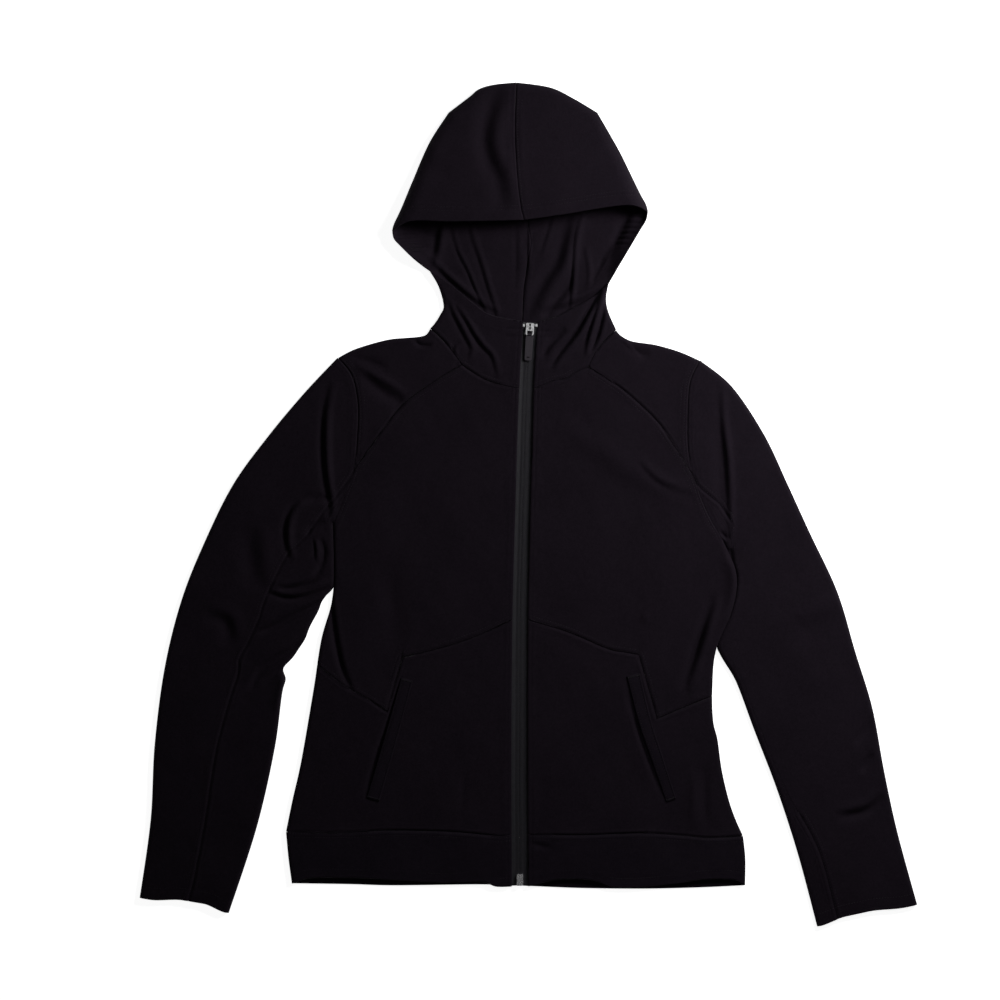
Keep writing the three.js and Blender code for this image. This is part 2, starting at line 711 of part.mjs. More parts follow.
// Half the hood: the crown over the face, the back that lies on the table, and the collar.
function hoodHalf(side) {
  const on = plan[side];
  const edge = (column, at) => tabled(hoodEdge, "at", column, at);
  const outer = chain([on.hoodSide, hoodCornerAt], [on.mouthEdge, mouthSideAt], [on.neckFold, 1]);
  const crownRows = roundThen(0.11, 5);
  const mouthRows = even(4);
  const collarRows = even(5);
  const collarSteps = joined(shares(capSteps, 0, collarNeckShare), shares(evenSteps, collarNeckShare, 1));
  const crownZ = (x, y, u, v) => {
    const at = v * hoodCornerAt;
    const full = mix(crownHeights.top, crownHeights.forehead, v ** 1.3) + foldHeight(crownFolds, x, y);
    return mix(edge("lift", at), full, rounded(fromEdge(x, y) / edge("top", at)));
  };
  const floorZ = (x, y, u, v) => {
    const inside = clamp(fromEdge(x, y) / edge("floor", v));
    const below = smooth(hoodCornerAt, hoodCornerAt + 0.06, v);
    const open = below * (1 - smooth(mouthSideAt - 0.06, mouthSideAt, v));
    const down = mix(rounded(inside), 1 - (1 - inside) ** 2, open);
    return mix(edge("lift", v), half + foldHeight(liningFolds, x, y), down);
  };
  const collarZ = (x, y, u, v) => {
    const at = mix(mouthSideAt, 1, v);
    const full = mix(collarHeight, frontHeight, v) + foldHeight(collarFolds, x, y);
    return mix(edge("lift", at), full, rounded(fromEdge(x, y) / edge("top", at)));
  };
  return walled([
    sheet({
      across: hoodColumns,
      down: crownRows,
      place: between({
        top: on.crown,
        bottom: on.foreheadEdge,
        left: (v) => outer(v * hoodCornerAt),
        right: on.crownSeam,
      }),
      raise: crownZ,
      rim: (u, v) => u === 0 || v === 0,
      turn: (u, v) => edge("lift", v * hoodCornerAt),
    }),
    sheet({
      across: hoodColumns,
      down: joined(
        crownRows.map((v) => v * hoodCornerAt),
        shares(mouthRows, hoodCornerAt, mouthSideAt),
        shares(collarRows, mouthSideAt, 1),
      ),
      place: between({ top: on.crown, bottom: on.backNeck, left: outer, right: on.liningSeam }),
      raise: floorZ,
      rim: (u, v) => u === 0 || v === 0,
      turn: (u, v) => edge("lift", v),
      faceDown: true,
    }),
    sheet({
      across: collarSteps,
      down: collarRows,
      place: between({
        top: on.collarTop,
        bottom: chain([on.neckSeam, collarNeckShare], [on.neckFront, 1]),
        left: (v) => outer(mix(mouthSideAt, 1, v)),
        right: on.alongZip(heights.mouth, heights.neck),
      }),
      raise: collarZ,
      rim: (u) => u === 0,
      turn: (u, v) => edge("lift", mix(mouthSideAt, 1, v)),
    }),
  ]);
}

// The welt of the slanted pocket, a strip sewn on over the lower front.
const welts = {
  right: { line: [[-133.7, -194.2], [-149, -255], [-171, -322.9]], halfTop: 6.5, halfFoot: 6.5 },
  left: { line: [[114.4, -187.6], [132, -260], [160, -329.5]], halfTop: 7.5, halfFoot: 6.5 },
};
const weltRise = cloth + seamGap;
function pocketWelt(side) {
  const { line, halfTop, halfFoot } = welts[side];
  const middle = curve(line);
  const edge = (hand) => (share) => {
    const [a, b] = [middle(share - 0.01), middle(share + 0.01)];
    const across = new THREE.Vector2(b.y - a.y, a.x - b.x).normalize();
    return middle(share).addScaledVector(across, hand * mix(halfTop, halfFoot, share));
  };
  const [low, high] = [edge(1), edge(-1)];
  const place = (u, v) => low(v).lerp(high(v), u).toArray();
  const raise = (x, y) => frontZ(x, y) + weltRise;
  return walled([sheet({ across: even(2), down: even(6), place, raise })]);
}

// Half the zip's tape, from the slit in the middle to a little way under the front.
function tapeZ(y) {
  const share = clamp((y - heights.neck) / (heights.mouth - heights.neck));
  return mix(frontHeight, collarHeight, share) - tapeDrop;
}
function zipTape(side) {
  const { away } = plan[side];
  const place = (u, v) => {
    const y = mix(heights.mouth - 1, heights.band + 1, v);
    return [zipCentre(y) + away * mix(0, edgeFromZip + tapeTuck, u), y];
  };
  return walled([sheet({ across: even(2), down: even(22), place, raise: (x, y) => tapeZ(y) })], tapeThick);
}

// Hardware of the zip. Each piece is drawn with +Y up the zip and then set on it.
const wasm = await Module();
wasm.setup();
function solidOf(geometry) {
  geometry.deleteAttribute("normal");
  geometry.deleteAttribute("uv");
  const merged = mergeVertices(geometry, 1e-4);
  const vertProperties = new Float32Array(merged.attributes.position.array);
  const triVerts = new Uint32Array(merged.index.array);
  return new wasm.Manifold(new wasm.Mesh({ numProp: 3, vertProperties, triVerts }));
}
function geometryOf(solid) {
  const mesh = solid.getMesh();
  const geometry = new THREE.BufferGeometry();
  geometry.setAttribute("position", new THREE.Float32BufferAttribute(mesh.vertProperties, 3));
  geometry.setIndex(Array.from(mesh.triVerts));
  geometry.computeVertexNormals();
  return geometry;
}

// A plate between two heights with softened edges, from an outline in plan.
function plate(outline, bottom, top, soft = 0.25) {
  const geometry = new THREE.ExtrudeGeometry(outline, {
    depth: top - bottom - 2 * soft,
    bevelThickness: soft,
    bevelSize: soft,
    bevelOffset: -soft,
    bevelSegments: 1,
    curveSegments: 4,
  });
  geometry.translate(0, 0, bottom + soft);
  return solidOf(geometry);
}
// An outline with rounded corners, narrower at its foot by taper on each side.
function roundedOutline({ width, top, foot, corner, taper = 0 }) {
  const [wide, low] = [width / 2, width / 2 - taper];
  const outline = new THREE.Shape();
  outline.moveTo(-low + corner, foot);
  outline.lineTo(low - corner, foot);
  outline.quadraticCurveTo(low, foot, low, foot + corner);
  outline.lineTo(wide, top - corner);
  outline.quadraticCurveTo(wide, top, wide - corner, top);
  outline.lineTo(-wide + corner, top);
  outline.quadraticCurveTo(-wide, top, -wide, top - corner);
  outline.lineTo(-low, foot + corner);
  outline.quadraticCurveTo(-low, foot, -low + corner, foot);
  return outline;
}
// A round bar across the zip.
const crossBar = (radius, width, y, z) =>
  solidOf(new THREE.CylinderGeometry(radius, radius, width, 20).rotateZ(Math.PI / 2).translate(0, y, z));
const block = (width, long, thick, y, z) =>
  solidOf(new THREE.BoxGeometry(width, long, thick).translate(0, y, z));

const sliderAt = 195; // height up the garment of the pull tab's hinge
const sliderPlate = { width: 9.8, top: 4.6, foot: -4.4, corner: 2.2, taper: 0.9, thick: 1.7 };
const arch = { outer: 3.3, inner: 2.2, width: 2.4, y: 0.6 };
const hingeRise = 0.95; // the hinge over the slider's plate
const link = { width: 9, top: 0.6, foot: -9.1, corner: 2, bar: 1.2, arm: 1.6, thick: 0.9 };
const grip = { width: 8.6, top: -9.6, foot: -37, corner: 2.2, taper: 0.3, thick: 1.5 };
const loop = { y: -8.5, outer: 1.65, inner: 1.05, width: 5.2 };
const slot = { width: 3.4, top: -32.6, foot: -33.8, corner: 0.5 };
const restTilt = THREE.MathUtils.degToRad(-3.2); // of the pull tab, downwards

const plateFoot = tapeZ(sliderAt) + tapeThick / 2 + seamGap;
const hingeZ = plateFoot + sliderPlate.thick + hingeRise;
const zipLean = Math.atan2(zipCentre(sliderAt) - zipCentre(sliderAt - 38), 38);
const onZip = (solid, tilt = 0) =>
  geometryOf(solid).rotateX(-tilt).rotateZ(-zipLean).translate(zipCentre(sliderAt), sliderAt, hingeZ);

function slider() {
  const top = -hingeRise;
  const body = plate(roundedOutline(sliderPlate), top - sliderPlate.thick, top);
  const ring = crossBar(arch.outer, arch.width, arch.y, top).subtract(crossBar(arch.inner, 9, arch.y, top));
  const above = block(20, 20, 20, 0, top + 10 - sliderPlate.thick / 2);
  return onZip(body.add(ring.intersect(above)));
}
function pullLink() {
  const outline = roundedOutline(link);
  const hole = roundedOutline({
    width: link.width - 2 * link.arm,
    top: link.top - link.bar,
    foot: link.foot + link.bar,
    corner: 1,
  });
  outline.holes.push(new THREE.Path(hole.getPoints(4).reverse()));
  return onZip(plate(outline, -link.thick / 2, link.thick / 2, 0.15), restTilt);
}
function pullGrip() {
  const body = plate(roundedOutline(grip), -grip.thick / 2, grip.thick / 2, 0.3);
  const neck = block(loop.width, loop.y - grip.top + 1, grip.thick, (grip.top + loop.y) / 2 - 0.5, 0);
  const cut = plate(roundedOutline(slot), -2, 2, 0.05);
  const bore = crossBar(loop.inner, 12, loop.y, 0);
  const eye = crossBar(loop.outer, loop.width, loop.y, 0);
  const whole = body.add(eye).add(neck);
  return onZip(whole.subtract(bore).subtract(cut), restTilt);
}
function topStop(side) {
  const y = sliderAt + 2;
  const x = zipCentre(y) + plan[side].away * 7;
  const foot = tapeZ(y) + tapeThick / 2 + seamGap;
  const outline = roundedOutline({ width: 2.4, top: 1.7, foot: -1.7, corner: 0.6 });
  return geometryOf(plate(outline, foot, foot + 1.2, 0.25)).translate(x, y, 0);
}
function zipBox() {
  const y = -413;
  const foot = tapeZ(y) + tapeThick / 2 + seamGap;
  const outline = roundedOutline({ width: 7.2, top: 6.6, foot: -6.6, corner: 1 });
  return geometryOf(plate(outline, foot, foot + 2.2, 0.35)).translate(zipCentre(y), y, 0);
}

// Materials and the named meshes.
const look = (color, roughness, metalness = 0) =>
  new THREE.MeshStandardMaterial({ color, roughness, metalness });
const knit = look(0x0f0c11, 0.85);
const rib = look(0x0b090d, 0.9);
const tapeCloth = look(0x1a171d, 0.7);
const silver = look(0xc9c9cf, 0.28, 1);
const gunmetal = look(0x38343a, 0.42, 1);

const garment = new THREE.Group();
function add(name, geometry, material) {
  const mesh = new THREE.Mesh(geometry, material.clone());
  mesh.name = name;
  garment.add(mesh);
}

for (const side of ["right", "left"]) {
  add(`hood_${side}`, hoodHalf(side), knit);
  add(`yoke_${side}`, yoke(side), knit);
  add(`front_upper_${side}`, upperFront(side), knit);
  add(`front_lower_${side}`, lowerFront(side), knit);
  add(`pocket_welt_${side}`, pocketWelt(side), rib);
  add(`band_front_${side}`, frontBand(side), rib);
  add(`sleeve_upper_${side}`, upperSleeve(side), knit);
  add(`sleeve_under_${side}`, underSleeve(side), knit);
  add(`zip_tape_${side}`, zipTape(side), tapeCloth);
  add(`zip_stop_${side}`, topStop(side), silver);
}
add("back", backPanel(), knit);
add("band_back", backBand(), rib);
add("zip_slider", slider(), silver);
add("pull_link", pullLink(), silver);
add("pull_grip", pullGrip(), gunmetal);
add("zip_box", zipBox(), silver);

export default garment;
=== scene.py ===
# %% [markdown]
# # A zip up hoodie, laid flat
#
# The garment lies on its back with the hood up and its mouth open. Every piece of cloth here is a
# surface worked out from the plan of the garment: where its seams run, seen from straight above,
# and how high the cloth lies there. All tables are in millimetres, with +Y towards the hood and
# +Z up. "right" and "left" are the wearer's, so right lies at -X.

import bmesh
import bpy
import numpy as np
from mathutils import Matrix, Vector


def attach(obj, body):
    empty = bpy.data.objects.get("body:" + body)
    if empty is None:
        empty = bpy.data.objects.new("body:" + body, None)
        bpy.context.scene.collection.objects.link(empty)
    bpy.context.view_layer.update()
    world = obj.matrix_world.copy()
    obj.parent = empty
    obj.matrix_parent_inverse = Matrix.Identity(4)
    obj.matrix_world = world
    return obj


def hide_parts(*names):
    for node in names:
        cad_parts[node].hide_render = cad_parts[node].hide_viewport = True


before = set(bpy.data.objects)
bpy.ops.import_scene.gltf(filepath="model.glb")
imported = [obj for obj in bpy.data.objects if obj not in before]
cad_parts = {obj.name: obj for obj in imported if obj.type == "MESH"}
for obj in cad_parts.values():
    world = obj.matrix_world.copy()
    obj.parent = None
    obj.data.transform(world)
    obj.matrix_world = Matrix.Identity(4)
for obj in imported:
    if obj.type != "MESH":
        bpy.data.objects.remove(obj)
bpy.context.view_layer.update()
MM = 0.001
print("solids loaded:", len(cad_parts))

# %% [markdown]
# ## Where the seams run
#
# A pattern maker draws a garment as a few long curves that meet at marks. The same marks and
# curves serve here. A curve through a few points can be a Bezier, a B-spline or a Catmull-Rom
# spline. Catmull-Rom is the simplest that passes through every point, so the tables can be read
# straight off the garment.

# %% The garment's sizes
CLOTH = 1.5  # wall that stands for the knit
RIM = 2.5  # middle of the cloth where the front turns over into the back
FRONT, FRONT_LEAST = 5.0, 2.4  # front layer where it is smooth, and in its deepest hollow
FRONT_ROLL, BACK_ROLL = 4.5, 2.4  # how far in from that turn each layer still rounds over
NOTCH, TOUCHING = 0.12, 0.25  # gap between sleeve and body at the armhole's foot, and below it
SLEEVE_CLEAR = 2.0  # gap where the sleeve swings away from the side
COLLAR, LINING = 6.2, 3.0  # top of the collar, and the hood's back where it shows in the mouth
EDGE, EDGE_LESS = 8.7, 0.8  # from the zip's middle to the front's edge, and less from the chest up
MOUTH_Y, NECK_Y, WAIST_Y, HEM_Y, BAND_Y = 201.5, 127.5, -127.0, -363.0, -420.5
ZIP_LINE = [(-9.4, -421), (-9.9, -281), (-9.2, -127), (-6, 5), (-2.2, 128), (2.2, 202)]
CROWN_TOP, FOREHEAD, BACK_NECK = (-13.2, 464.0), (-5.2, 310.8), (-8.3, 175.5)
SAMPLES, MANY = 401, 2001  # places on an ordinary path, and on a path of several stretches
print(f"cloth {CLOTH} mm thick, fronts {MOUTH_Y - BAND_Y:.0f} mm high beside the zip")

# %% Marks, and the points between them
MARKS = {
    "right": dict(
        crown_corner=(-87.5, 430.7), hood_corner=(-149.1, 299.4), mouth_side=(-108.4, 256.9),
        neck_side=(-108.0, 193.5), neck_yoke=(-73.5, 153.5), shoulder_tip=(-209.6, 161.2),
        yoke_arm=(-192, 38), underarm=(-215, -21.5), waist_side=(-234.9, -175.5),
        pocket_foot=(-156.8, -228.3), pocket_corner=(-139, -168), hem_side=(-266.8, -360.3),
        band_side=(-260.2, -417.5),
    ),
    "left": dict(
        crown_corner=(75.4, 430.7), hood_corner=(130.4, 320.6), mouth_side=(87.5, 242.6),
        neck_side=(96.3, 192), neck_yoke=(66, 151.3), shoulder_tip=(188.2, 158.2),
        yoke_arm=(182, 30.3), underarm=(215, -41.3), waist_side=(202, -210.7),
        pocket_foot=(141.4, -236), pocket_corner=(121, -165.5), hem_side=(236, -364.7),
        band_side=(238.2, -419.7),
    ),
}
VIA = {
    "right": dict(
        crown=[(-64.2, 448.6), (-54, 456.8), (-38, 461.6)],
        hood_side=[(-108.4, 397.7), (-127, 354.8), (-139, 325), (-147, 307.5)],
        mouth_edge=[(-147.4, 291.6), (-140.6, 283.6), (-123.8, 267.5)],
        neck_fold=[(-98.5, 240), (-93, 219), (-97, 208.5), (-103.5, 198.5)],
        forehead_edge=[(-128, 309.7), (-80.9, 309.2)],
        collar_top=[(-84.7, 240.9), (-61, 221.7), (-41.7, 208.8)],
        neck_seam=[(-95, 181.5), (-81, 164.5)],
        neck_front=[(-61, 144.8), (-46.5, 136.6), (-32, 132)],
        shoulder=[(-110.5, 189), (-114.5, 185.6), (-124, 184), (-134.8, 183.2), (-156.8, 180.8),
                  (-190, 171.2)],
        armhole=[(-194.2, 141.4), (-187.6, 109.5), (-188.7, 71), (-192, 38), (-201.9, 10.5)],
        yoke=[(-163.4, 78.7), (-139.2, 109.5), (-108.4, 132.6)],
        side=[(-215, -96.3), (-228, -149), (-236.2, -202), (-249.8, -281), (-259.6, -325)],
        waist_side=[(-205, -199), (-178, -214)],
        waist_front=[(-98, -158.5), (-59, -145.7)],
        hem=[(-196, -360.8), (-157, -358.8), (-98, -359.8), (-64, -362), (-34, -365)],
        band_side=[(-264, -390)],
        band_foot=[(-240, -411.5), (-196, -411.2), (-147, -413.4), (-97, -416), (-53, -415.2),
                   (-36, -420.6)],
    ),
    "left": dict(
        crown=[(50, 446), (23.7, 458.5)],
        hood_side=[(88.6, 407.6), (103, 381), (121.4, 342), (128.2, 329)],
        mouth_edge=[(128.4, 311.6), (122.4, 301.2), (107.3, 275.6)],
        neck_fold=[(84.8, 228), (87.5, 212)],
        forehead_edge=[(105, 327), (34.7, 316.4)],
        collar_top=[(72.7, 229.4), (51.2, 217.3), (30, 206.8)],
        neck_seam=[(84.5, 181.5), (73, 166.8)],
        neck_front=[(50, 144.5), (40.5, 138.5), (24, 135)],
        shoulder=[(100.4, 186.6), (114, 179.5), (140, 175.5), (166, 168)],
        armhole=[(177.7, 134.8), (175, 98.5), (175.7, 60), (182, 30.3), (196, -8)],
        yoke=[(147.5, 83.7), (122.7, 110), (95, 132.8)],
        side=[(229, -77.6), (224, -116), (206.3, -160), (202.2, -204), (203.2, -238), (208, -259),
              (212.8, -293), (220.5, -325.5), (228, -347)],
        waist_side=[(174, -222)],
        waist_front=[(108, -163), (86, -158.5), (43, -140.5)],
        hem=[(201, -367), (170, -364.5), (125, -361.8), (64, -364), (20, -363.8)],
        band_side=[(238.6, -390)],
        band_foot=[(225, -413), (192, -413), (160, -417.5), (120, -421), (92, -420.5), (70, -414),
                   (34, -413)],
    ),
}

# %% Curves as arrays
def cubic(before, a, b, after, t):
    """One stretch of a Catmull-Rom curve, from a to b: the cubic whose slope at either end is half
    the step between that end's two neighbours."""
    m, n = (b - before) / 2, (after - a) / 2
    return (2 * a - 2 * b + m + n) * t**3 + (3 * b - 3 * a - 2 * m - n) * t**2 + m * t + a


def spline(points, count=SAMPLES):
    """Catmull-Rom curve in plan, as places at even steps of its length."""
    p = np.asarray(points, float)
    before, after = np.vstack([p[:1], p[:-2]]), np.vstack([p[2:], p[-1:]])
    t = np.linspace(0, 1, 41)[None, :, None]
    stretches = cubic(before[:, None], p[:-1, None], p[1:, None], after[:, None], t)
    fine = np.vstack([stretches[:, :-1].reshape(-1, p.shape[1]), p[-1:]])
    far = distances(fine)
    even = np.linspace(0, far[-1], count)
    return np.stack([np.interp(even, far, column) for column in fine.T], -1)


def distances(line):
    """Distance of each place of a line from its start, along the line."""
    steps = np.linalg.norm(np.diff(line, axis=0), axis=1)
    return np.concatenate([[0], np.cumsum(steps)])


def at(path, share):
    """Place at a share of a path, 0 at its start and 1 at its end, straight between samples."""
    k = np.clip(share, 0, 1) * (len(path) - 1)
    i = np.minimum(k.astype(int), len(path) - 2)
    f = (k - i)[..., None]
    return path[i] * (1 - f) + path[i + 1] * f


def chain(*stretches, count=MANY):
    """Paths end to end. Each comes with the share of the whole at which it ends."""
    share = np.linspace(0, 1, count)
    out = np.zeros((count, 2))
    start = 0.0
    for path, end in stretches:
        here = (share >= start) & (share <= end)
        out[here] = at(path, (share[here] - start) / (end - start))
        start = end
    return out


def piece(path, low, high):
    """The stretch of a path between two shares."""
    return at(path, np.linspace(low, high, SAMPLES))


def smooth(low, high, value):
    """Rises from 0 to 1 between low and high, as 3s^2 - 2s^3."""
    s = np.clip((value - low) / (high - low), 0, 1)
    return s * s * (3 - 2 * s)


def share_at_y(path, y):
    """Share at which a path that runs downwards passes the height y."""
    return float(np.interp(-y, -path[:, 1], np.linspace(0, 1, len(path))))


zip_path = spline(ZIP_LINE, 801)


def zip_x(y):
    """x of the zip's centre line at a height."""
    return np.interp(y, zip_path[:, 1], zip_path[:, 0])


def edge_from_zip(y):
    """Distance from the zip's centre line to the front's edge: less from the chest up."""
    return EDGE - EDGE_LESS * smooth(-330, 60, y)


print("width of the zip's channel at the hem:", 2 * EDGE, "mm")

# %% The seams of one side
def outlines(side):
    """All seams and edges of one side, as paths in plan."""
    away = 1 if side == "left" else -1
    m, v = MARKS[side], VIA[side]

    def zip_edge(low, high):
        """The front's edge between two heights: the zip's line, moved by the edge's distance."""
        y = np.linspace(low, high, SAMPLES)
        return np.stack([zip_x(y) + away * edge_from_zip(y), y], -1)

    def by_zip(y):
        """One place on that edge."""
        return float(zip_x(y) + away * edge_from_zip(y)), y

    armhole = spline([m["shoulder_tip"], *v["armhole"], m["underarm"]])
    # Over the last 7% of the armhole, sleeve and body part by the notch to either side.
    opening = np.zeros_like(armhole)
    opening[:, 0] = away * NOTCH * smooth(0.93, 1, np.linspace(0, 1, len(armhole)))
    neck_x, neck_y = m["neck_side"]
    return dict(
        away=away,
        zip_edge=zip_edge,
        crown=spline([m["crown_corner"], *v["crown"], CROWN_TOP]),
        hood_side=spline([m["crown_corner"], *v["hood_side"], m["hood_corner"]]),
        mouth_edge=spline([m["hood_corner"], *v["mouth_edge"], m["mouth_side"]]),
        neck_fold=spline([m["mouth_side"], *v["neck_fold"], (neck_x, neck_y + 0.3)]),
        forehead_edge=spline([m["hood_corner"], *v["forehead_edge"], FOREHEAD]),
        crown_seam=spline([CROWN_TOP, (-15, 417), (-13.5, 372.7), (-9.7, 332), FOREHEAD]),
        lining_seam=spline([
            CROWN_TOP, (-6, 380), (-0.2, 309.7), (2.6, 288.5), (-1.3, 265.4), (-5.5, 236),
            (-6.6, 206.5), BACK_NECK,
        ]),
        collar_top=spline([m["mouth_side"], *v["collar_top"], by_zip(MOUTH_Y)]),
        neck_seam=spline([m["neck_side"], *v["neck_seam"], m["neck_yoke"]]),
        neck_front=spline([m["neck_yoke"], *v["neck_front"], by_zip(NECK_Y)]),
        back_neck=spline([m["neck_side"], ((neck_x + BACK_NECK[0]) / 2, 180), BACK_NECK]),
        shoulder=spline([m["neck_side"], *v["shoulder"], m["shoulder_tip"]]),
        armhole=armhole,
        armhole_body=armhole - opening,
        armhole_sleeve=armhole + opening,
        yoke=spline([m["yoke_arm"], *v["yoke"], m["neck_yoke"]]),
        side=spline([armhole[-1] - opening[-1], *v["side"], m["hem_side"]]),
        # The waist seam is one path of three: beside the pocket it is straight, with a corner
        # at either end.
        waist=chain(
            (spline([m["waist_side"], *v["waist_side"], m["pocket_foot"]]), 0.38),
            (spline([m["pocket_foot"], m["pocket_corner"]]), 0.6),
            (spline([m["pocket_corner"], *v["waist_front"], by_zip(WAIST_Y)]), 1),
        ),
        hem=spline([m["hem_side"], *v["hem"], by_zip(HEM_Y - 1)]),
        band_side=spline([m["hem_side"], *v["band_side"], m["band_side"]]),
        band_foot=spline([m["band_side"], *v["band_foot"], by_zip(BAND_Y)]),
    )


PLAN = {side: outlines(side) for side in ("right", "left")}
arm_share, waist_share = {}, {}
for side, on in PLAN.items():
    arm_share[side] = share_at_y(on["armhole_body"], MARKS[side]["yoke_arm"][1])
    waist_share[side] = share_at_y(on["side"], MARKS[side]["waist_side"][1])
print("yoke seam meets the armhole at", {side: round(arm_share[side], 3) for side in PLAN})

# %% [markdown]
# ## The sleeves in plan
#
# A sleeve is a tube of two pieces, with a seam in front and one behind, and it lies pressed flat.
# It could be a round tube that a simulation presses, but its edges would then come down anywhere.
# So a few sections, each from the outer edge to the inner one, say where it is and where its front
# seam crosses it. Between sections the edges are splines, and near the shoulder the sections bend
# until the first is the armhole itself.

# %% Sections of the sleeves
SECTIONS = {
    "right": [
        (-209.6, 161.2, -215, -21.5, 0.685), (-245.9, 122.7, -217, -52, 0.69),
        (-285.5, 75.4, -217.5, -79, 0.66), (-324, 22.6, -221.5, -101, 0.61),
        (-354.8, -39, -236, -124.5, 0.6), (-381.2, -105, -252.5, -155, 0.615),
        (-399.9, -179.9, -269.5, -196, 0.605), (-410.9, -264.6, -280, -268, 0.52),
        (-415.3, -347, -299.8, -355, 0.51), (-427.3, -432.9, -330.6, -449.4, 0.55),
    ],
    "left": [
        (188.2, 158.2, 215, -41.3, 0.655), (223.8, 129, 229, -62, 0.69),
        (259.2, 76, 231, -84, 0.93), (284.4, 22.6, 229, -112, 0.955),
        (308.6, -30.3, 219, -139, 0.955), (339.4, -96.3, 211, -161.2, 0.955),
        (359.2, -162.3, 229.4, -195.3, 0.955), (377.9, -223.9, 249.2, -248.1, 0.955),
        (391.1, -294.3, 274.5, -314.1, 0.93), (405.4, -360.3, 297.6, -385.6, 0.8),
        (427.3, -440.6, 318.5, -464.2, 0.8),
    ],
}
# Share across the sleeve at which its back seam runs.
BACK_SEAM = {"right": 0.4, "left": 0.14}
# Creases in a sleeve's inner edge: height up the garment, how far they push it out, their width.
DENTS = {
    "right": [(-106, -3.6, 9), (-148, 2.4, 10), (-180, -6.0, 9), (-192, 1.5, 7)],
    "left": [(-158, 1.0, 8)],
}
# How far the middle of a cuff stands back from its ends.
CUFF_RISE = {"right": 5.6, "left": 4.4}
# Height above which the sleeve lies against the body's side, give or take 6 mm.
CLOSED = {"right": -94, "left": -158}
# The front seam's share across the sleeve by station, where it dives under a fold.
DIVES = {"left": ((0, 0.655), (0.085, 0.69), (0.13, 0.95), (0.2, 0.955))}


def parameter_spline(points, count=MANY):
    """Catmull-Rom curve sampled at even steps of its parameter, so that row i of a table lies at
    the share i / (rows - 1), whatever the stretches' lengths."""
    p = np.asarray(points, float)
    k = np.linspace(0, 1, count) * (len(p) - 1)
    i = np.minimum(k.astype(int), len(p) - 2)
    before, after = p[np.maximum(i - 1, 0)], p[np.minimum(i + 2, len(p) - 1)]
    return cubic(before, p[i], p[i + 1], after, (k - i)[:, None])


def sleeve_plan(side):
    """Outer edge, inner edge and front seam of a sleeve by station, and its plan. The inner edge
    keeps clear of the body's side, and lies against it above the height where it is closed."""
    away, body = PLAN[side]["away"], PLAN[side]["side"]
    rows = np.array(SECTIONS[side])
    rows[0, 4] = arm_share[side]
    outer, inner, seam = (parameter_spline(part) for part in (rows[:, :2], rows[:, 2:4], rows[:, 4:]))
    beside = np.interp(-inner[:, 1], -body[:, 1], body[:, 0])
    top = MARKS[side]["underarm"][1]
    clear = 2 * NOTCH + (SLEEVE_CLEAR - 2 * NOTCH) * smooth(0, 15, top - inner[:, 1])
    for y, out, wide in DENTS[side]:
        inner[:, 0] += away * -out * np.exp(-(((inner[:, 1] - y) / wide) ** 2))
    inner[:, 0] = away * np.maximum(away * inner[:, 0], away * beside + clear)
    closed = smooth(CLOSED[side] - 6, CLOSED[side] + 6, inner[:, 1])
    inner[:, 0] += (beside + away * TOUCHING - inner[:, 0]) * closed
    if side in DIVES:
        station, share = np.array(DIVES[side]).T
        along = np.linspace(0, 1, len(seam))
        start = np.interp(along, station, share)
        start[0] = arm_share[side]
        seam[:, 0] = np.where(along < station[-1], start, seam[:, 0])

    def place(station, across):
        """Plan of a station and a share across: the straight section, plus the armhole's bow as it
        fades down the sleeve, sooner at the inner edge, plus the rise of the cuff's middle."""
        a, b = at(outer, station), at(inner, station)
        straight = outer[0] + (inner[0] - outer[0]) * across[..., None]
        fade = 0.32 - 0.27 * smooth(0.55, 0.95, across)
        bow = at(PLAN[side]["armhole_sleeve"], across) - straight
        plan = a + (b - a) * across[..., None] + bow * (1 - smooth(0, fade, station))[..., None] ** 2
        rise = CUFF_RISE[side] * smooth(0.1, 0.5, across) * (1 - smooth(0.72, 0.98, across))
        plan[..., 1] += rise * smooth(0.96, 1, station)
        return plan

    return dict(outer=outer, inner=inner, seam=seam, place=place)


SLEEVE = {side: sleeve_plan(side) for side in PLAN}
for side, sleeve in SLEEVE.items():
    print(side, "sleeve along its outer edge:", round(distances(sleeve["outer"])[-1]), "mm")

# %% [markdown]
# ## How high the cloth lies
#
# Cloth that lies flat is a height over the plan. Three things shape it: it rounds over where the
# front turns into the back, it has folds, and it is pinched at its seams. A physics simulation
# could give folds, but not these folds in these places, so each fold is a row in a table: a curve
# in plan, a width, how high its ridge is, and how much higher the cloth lies on its left hand.

# %% Distance from curves
BLOCK = 6000  # points measured at a time, which keeps the arrays small


def nearest(xy, lines):
    """Least distance in plan from each point to any of the lines, each taken as straight
    stretches: the offset from the closest point on a stretch, at its clamped share."""
    starts = np.vstack([line[:-1] for line in lines])
    runs = np.vstack([np.diff(line, axis=0) for line in lines])
    square = np.maximum((runs**2).sum(-1), 1e-9)
    flat = xy.reshape(-1, 2)
    best = np.empty(len(flat))
    for low in range(0, len(flat), BLOCK):
        offset = flat[low:low + BLOCK, None] - starts[None]
        share = np.clip((offset * runs).sum(-1) / square, 0, 1)
        offset -= share[..., None] * runs
        best[low:low + BLOCK] = np.sqrt((offset**2).sum(-1).min(1))
    return best.reshape(xy.shape[:-1])


def thin(path, count=41):
    """Fewer samples of a path, for measuring."""
    return at(path, np.linspace(0, 1, count))


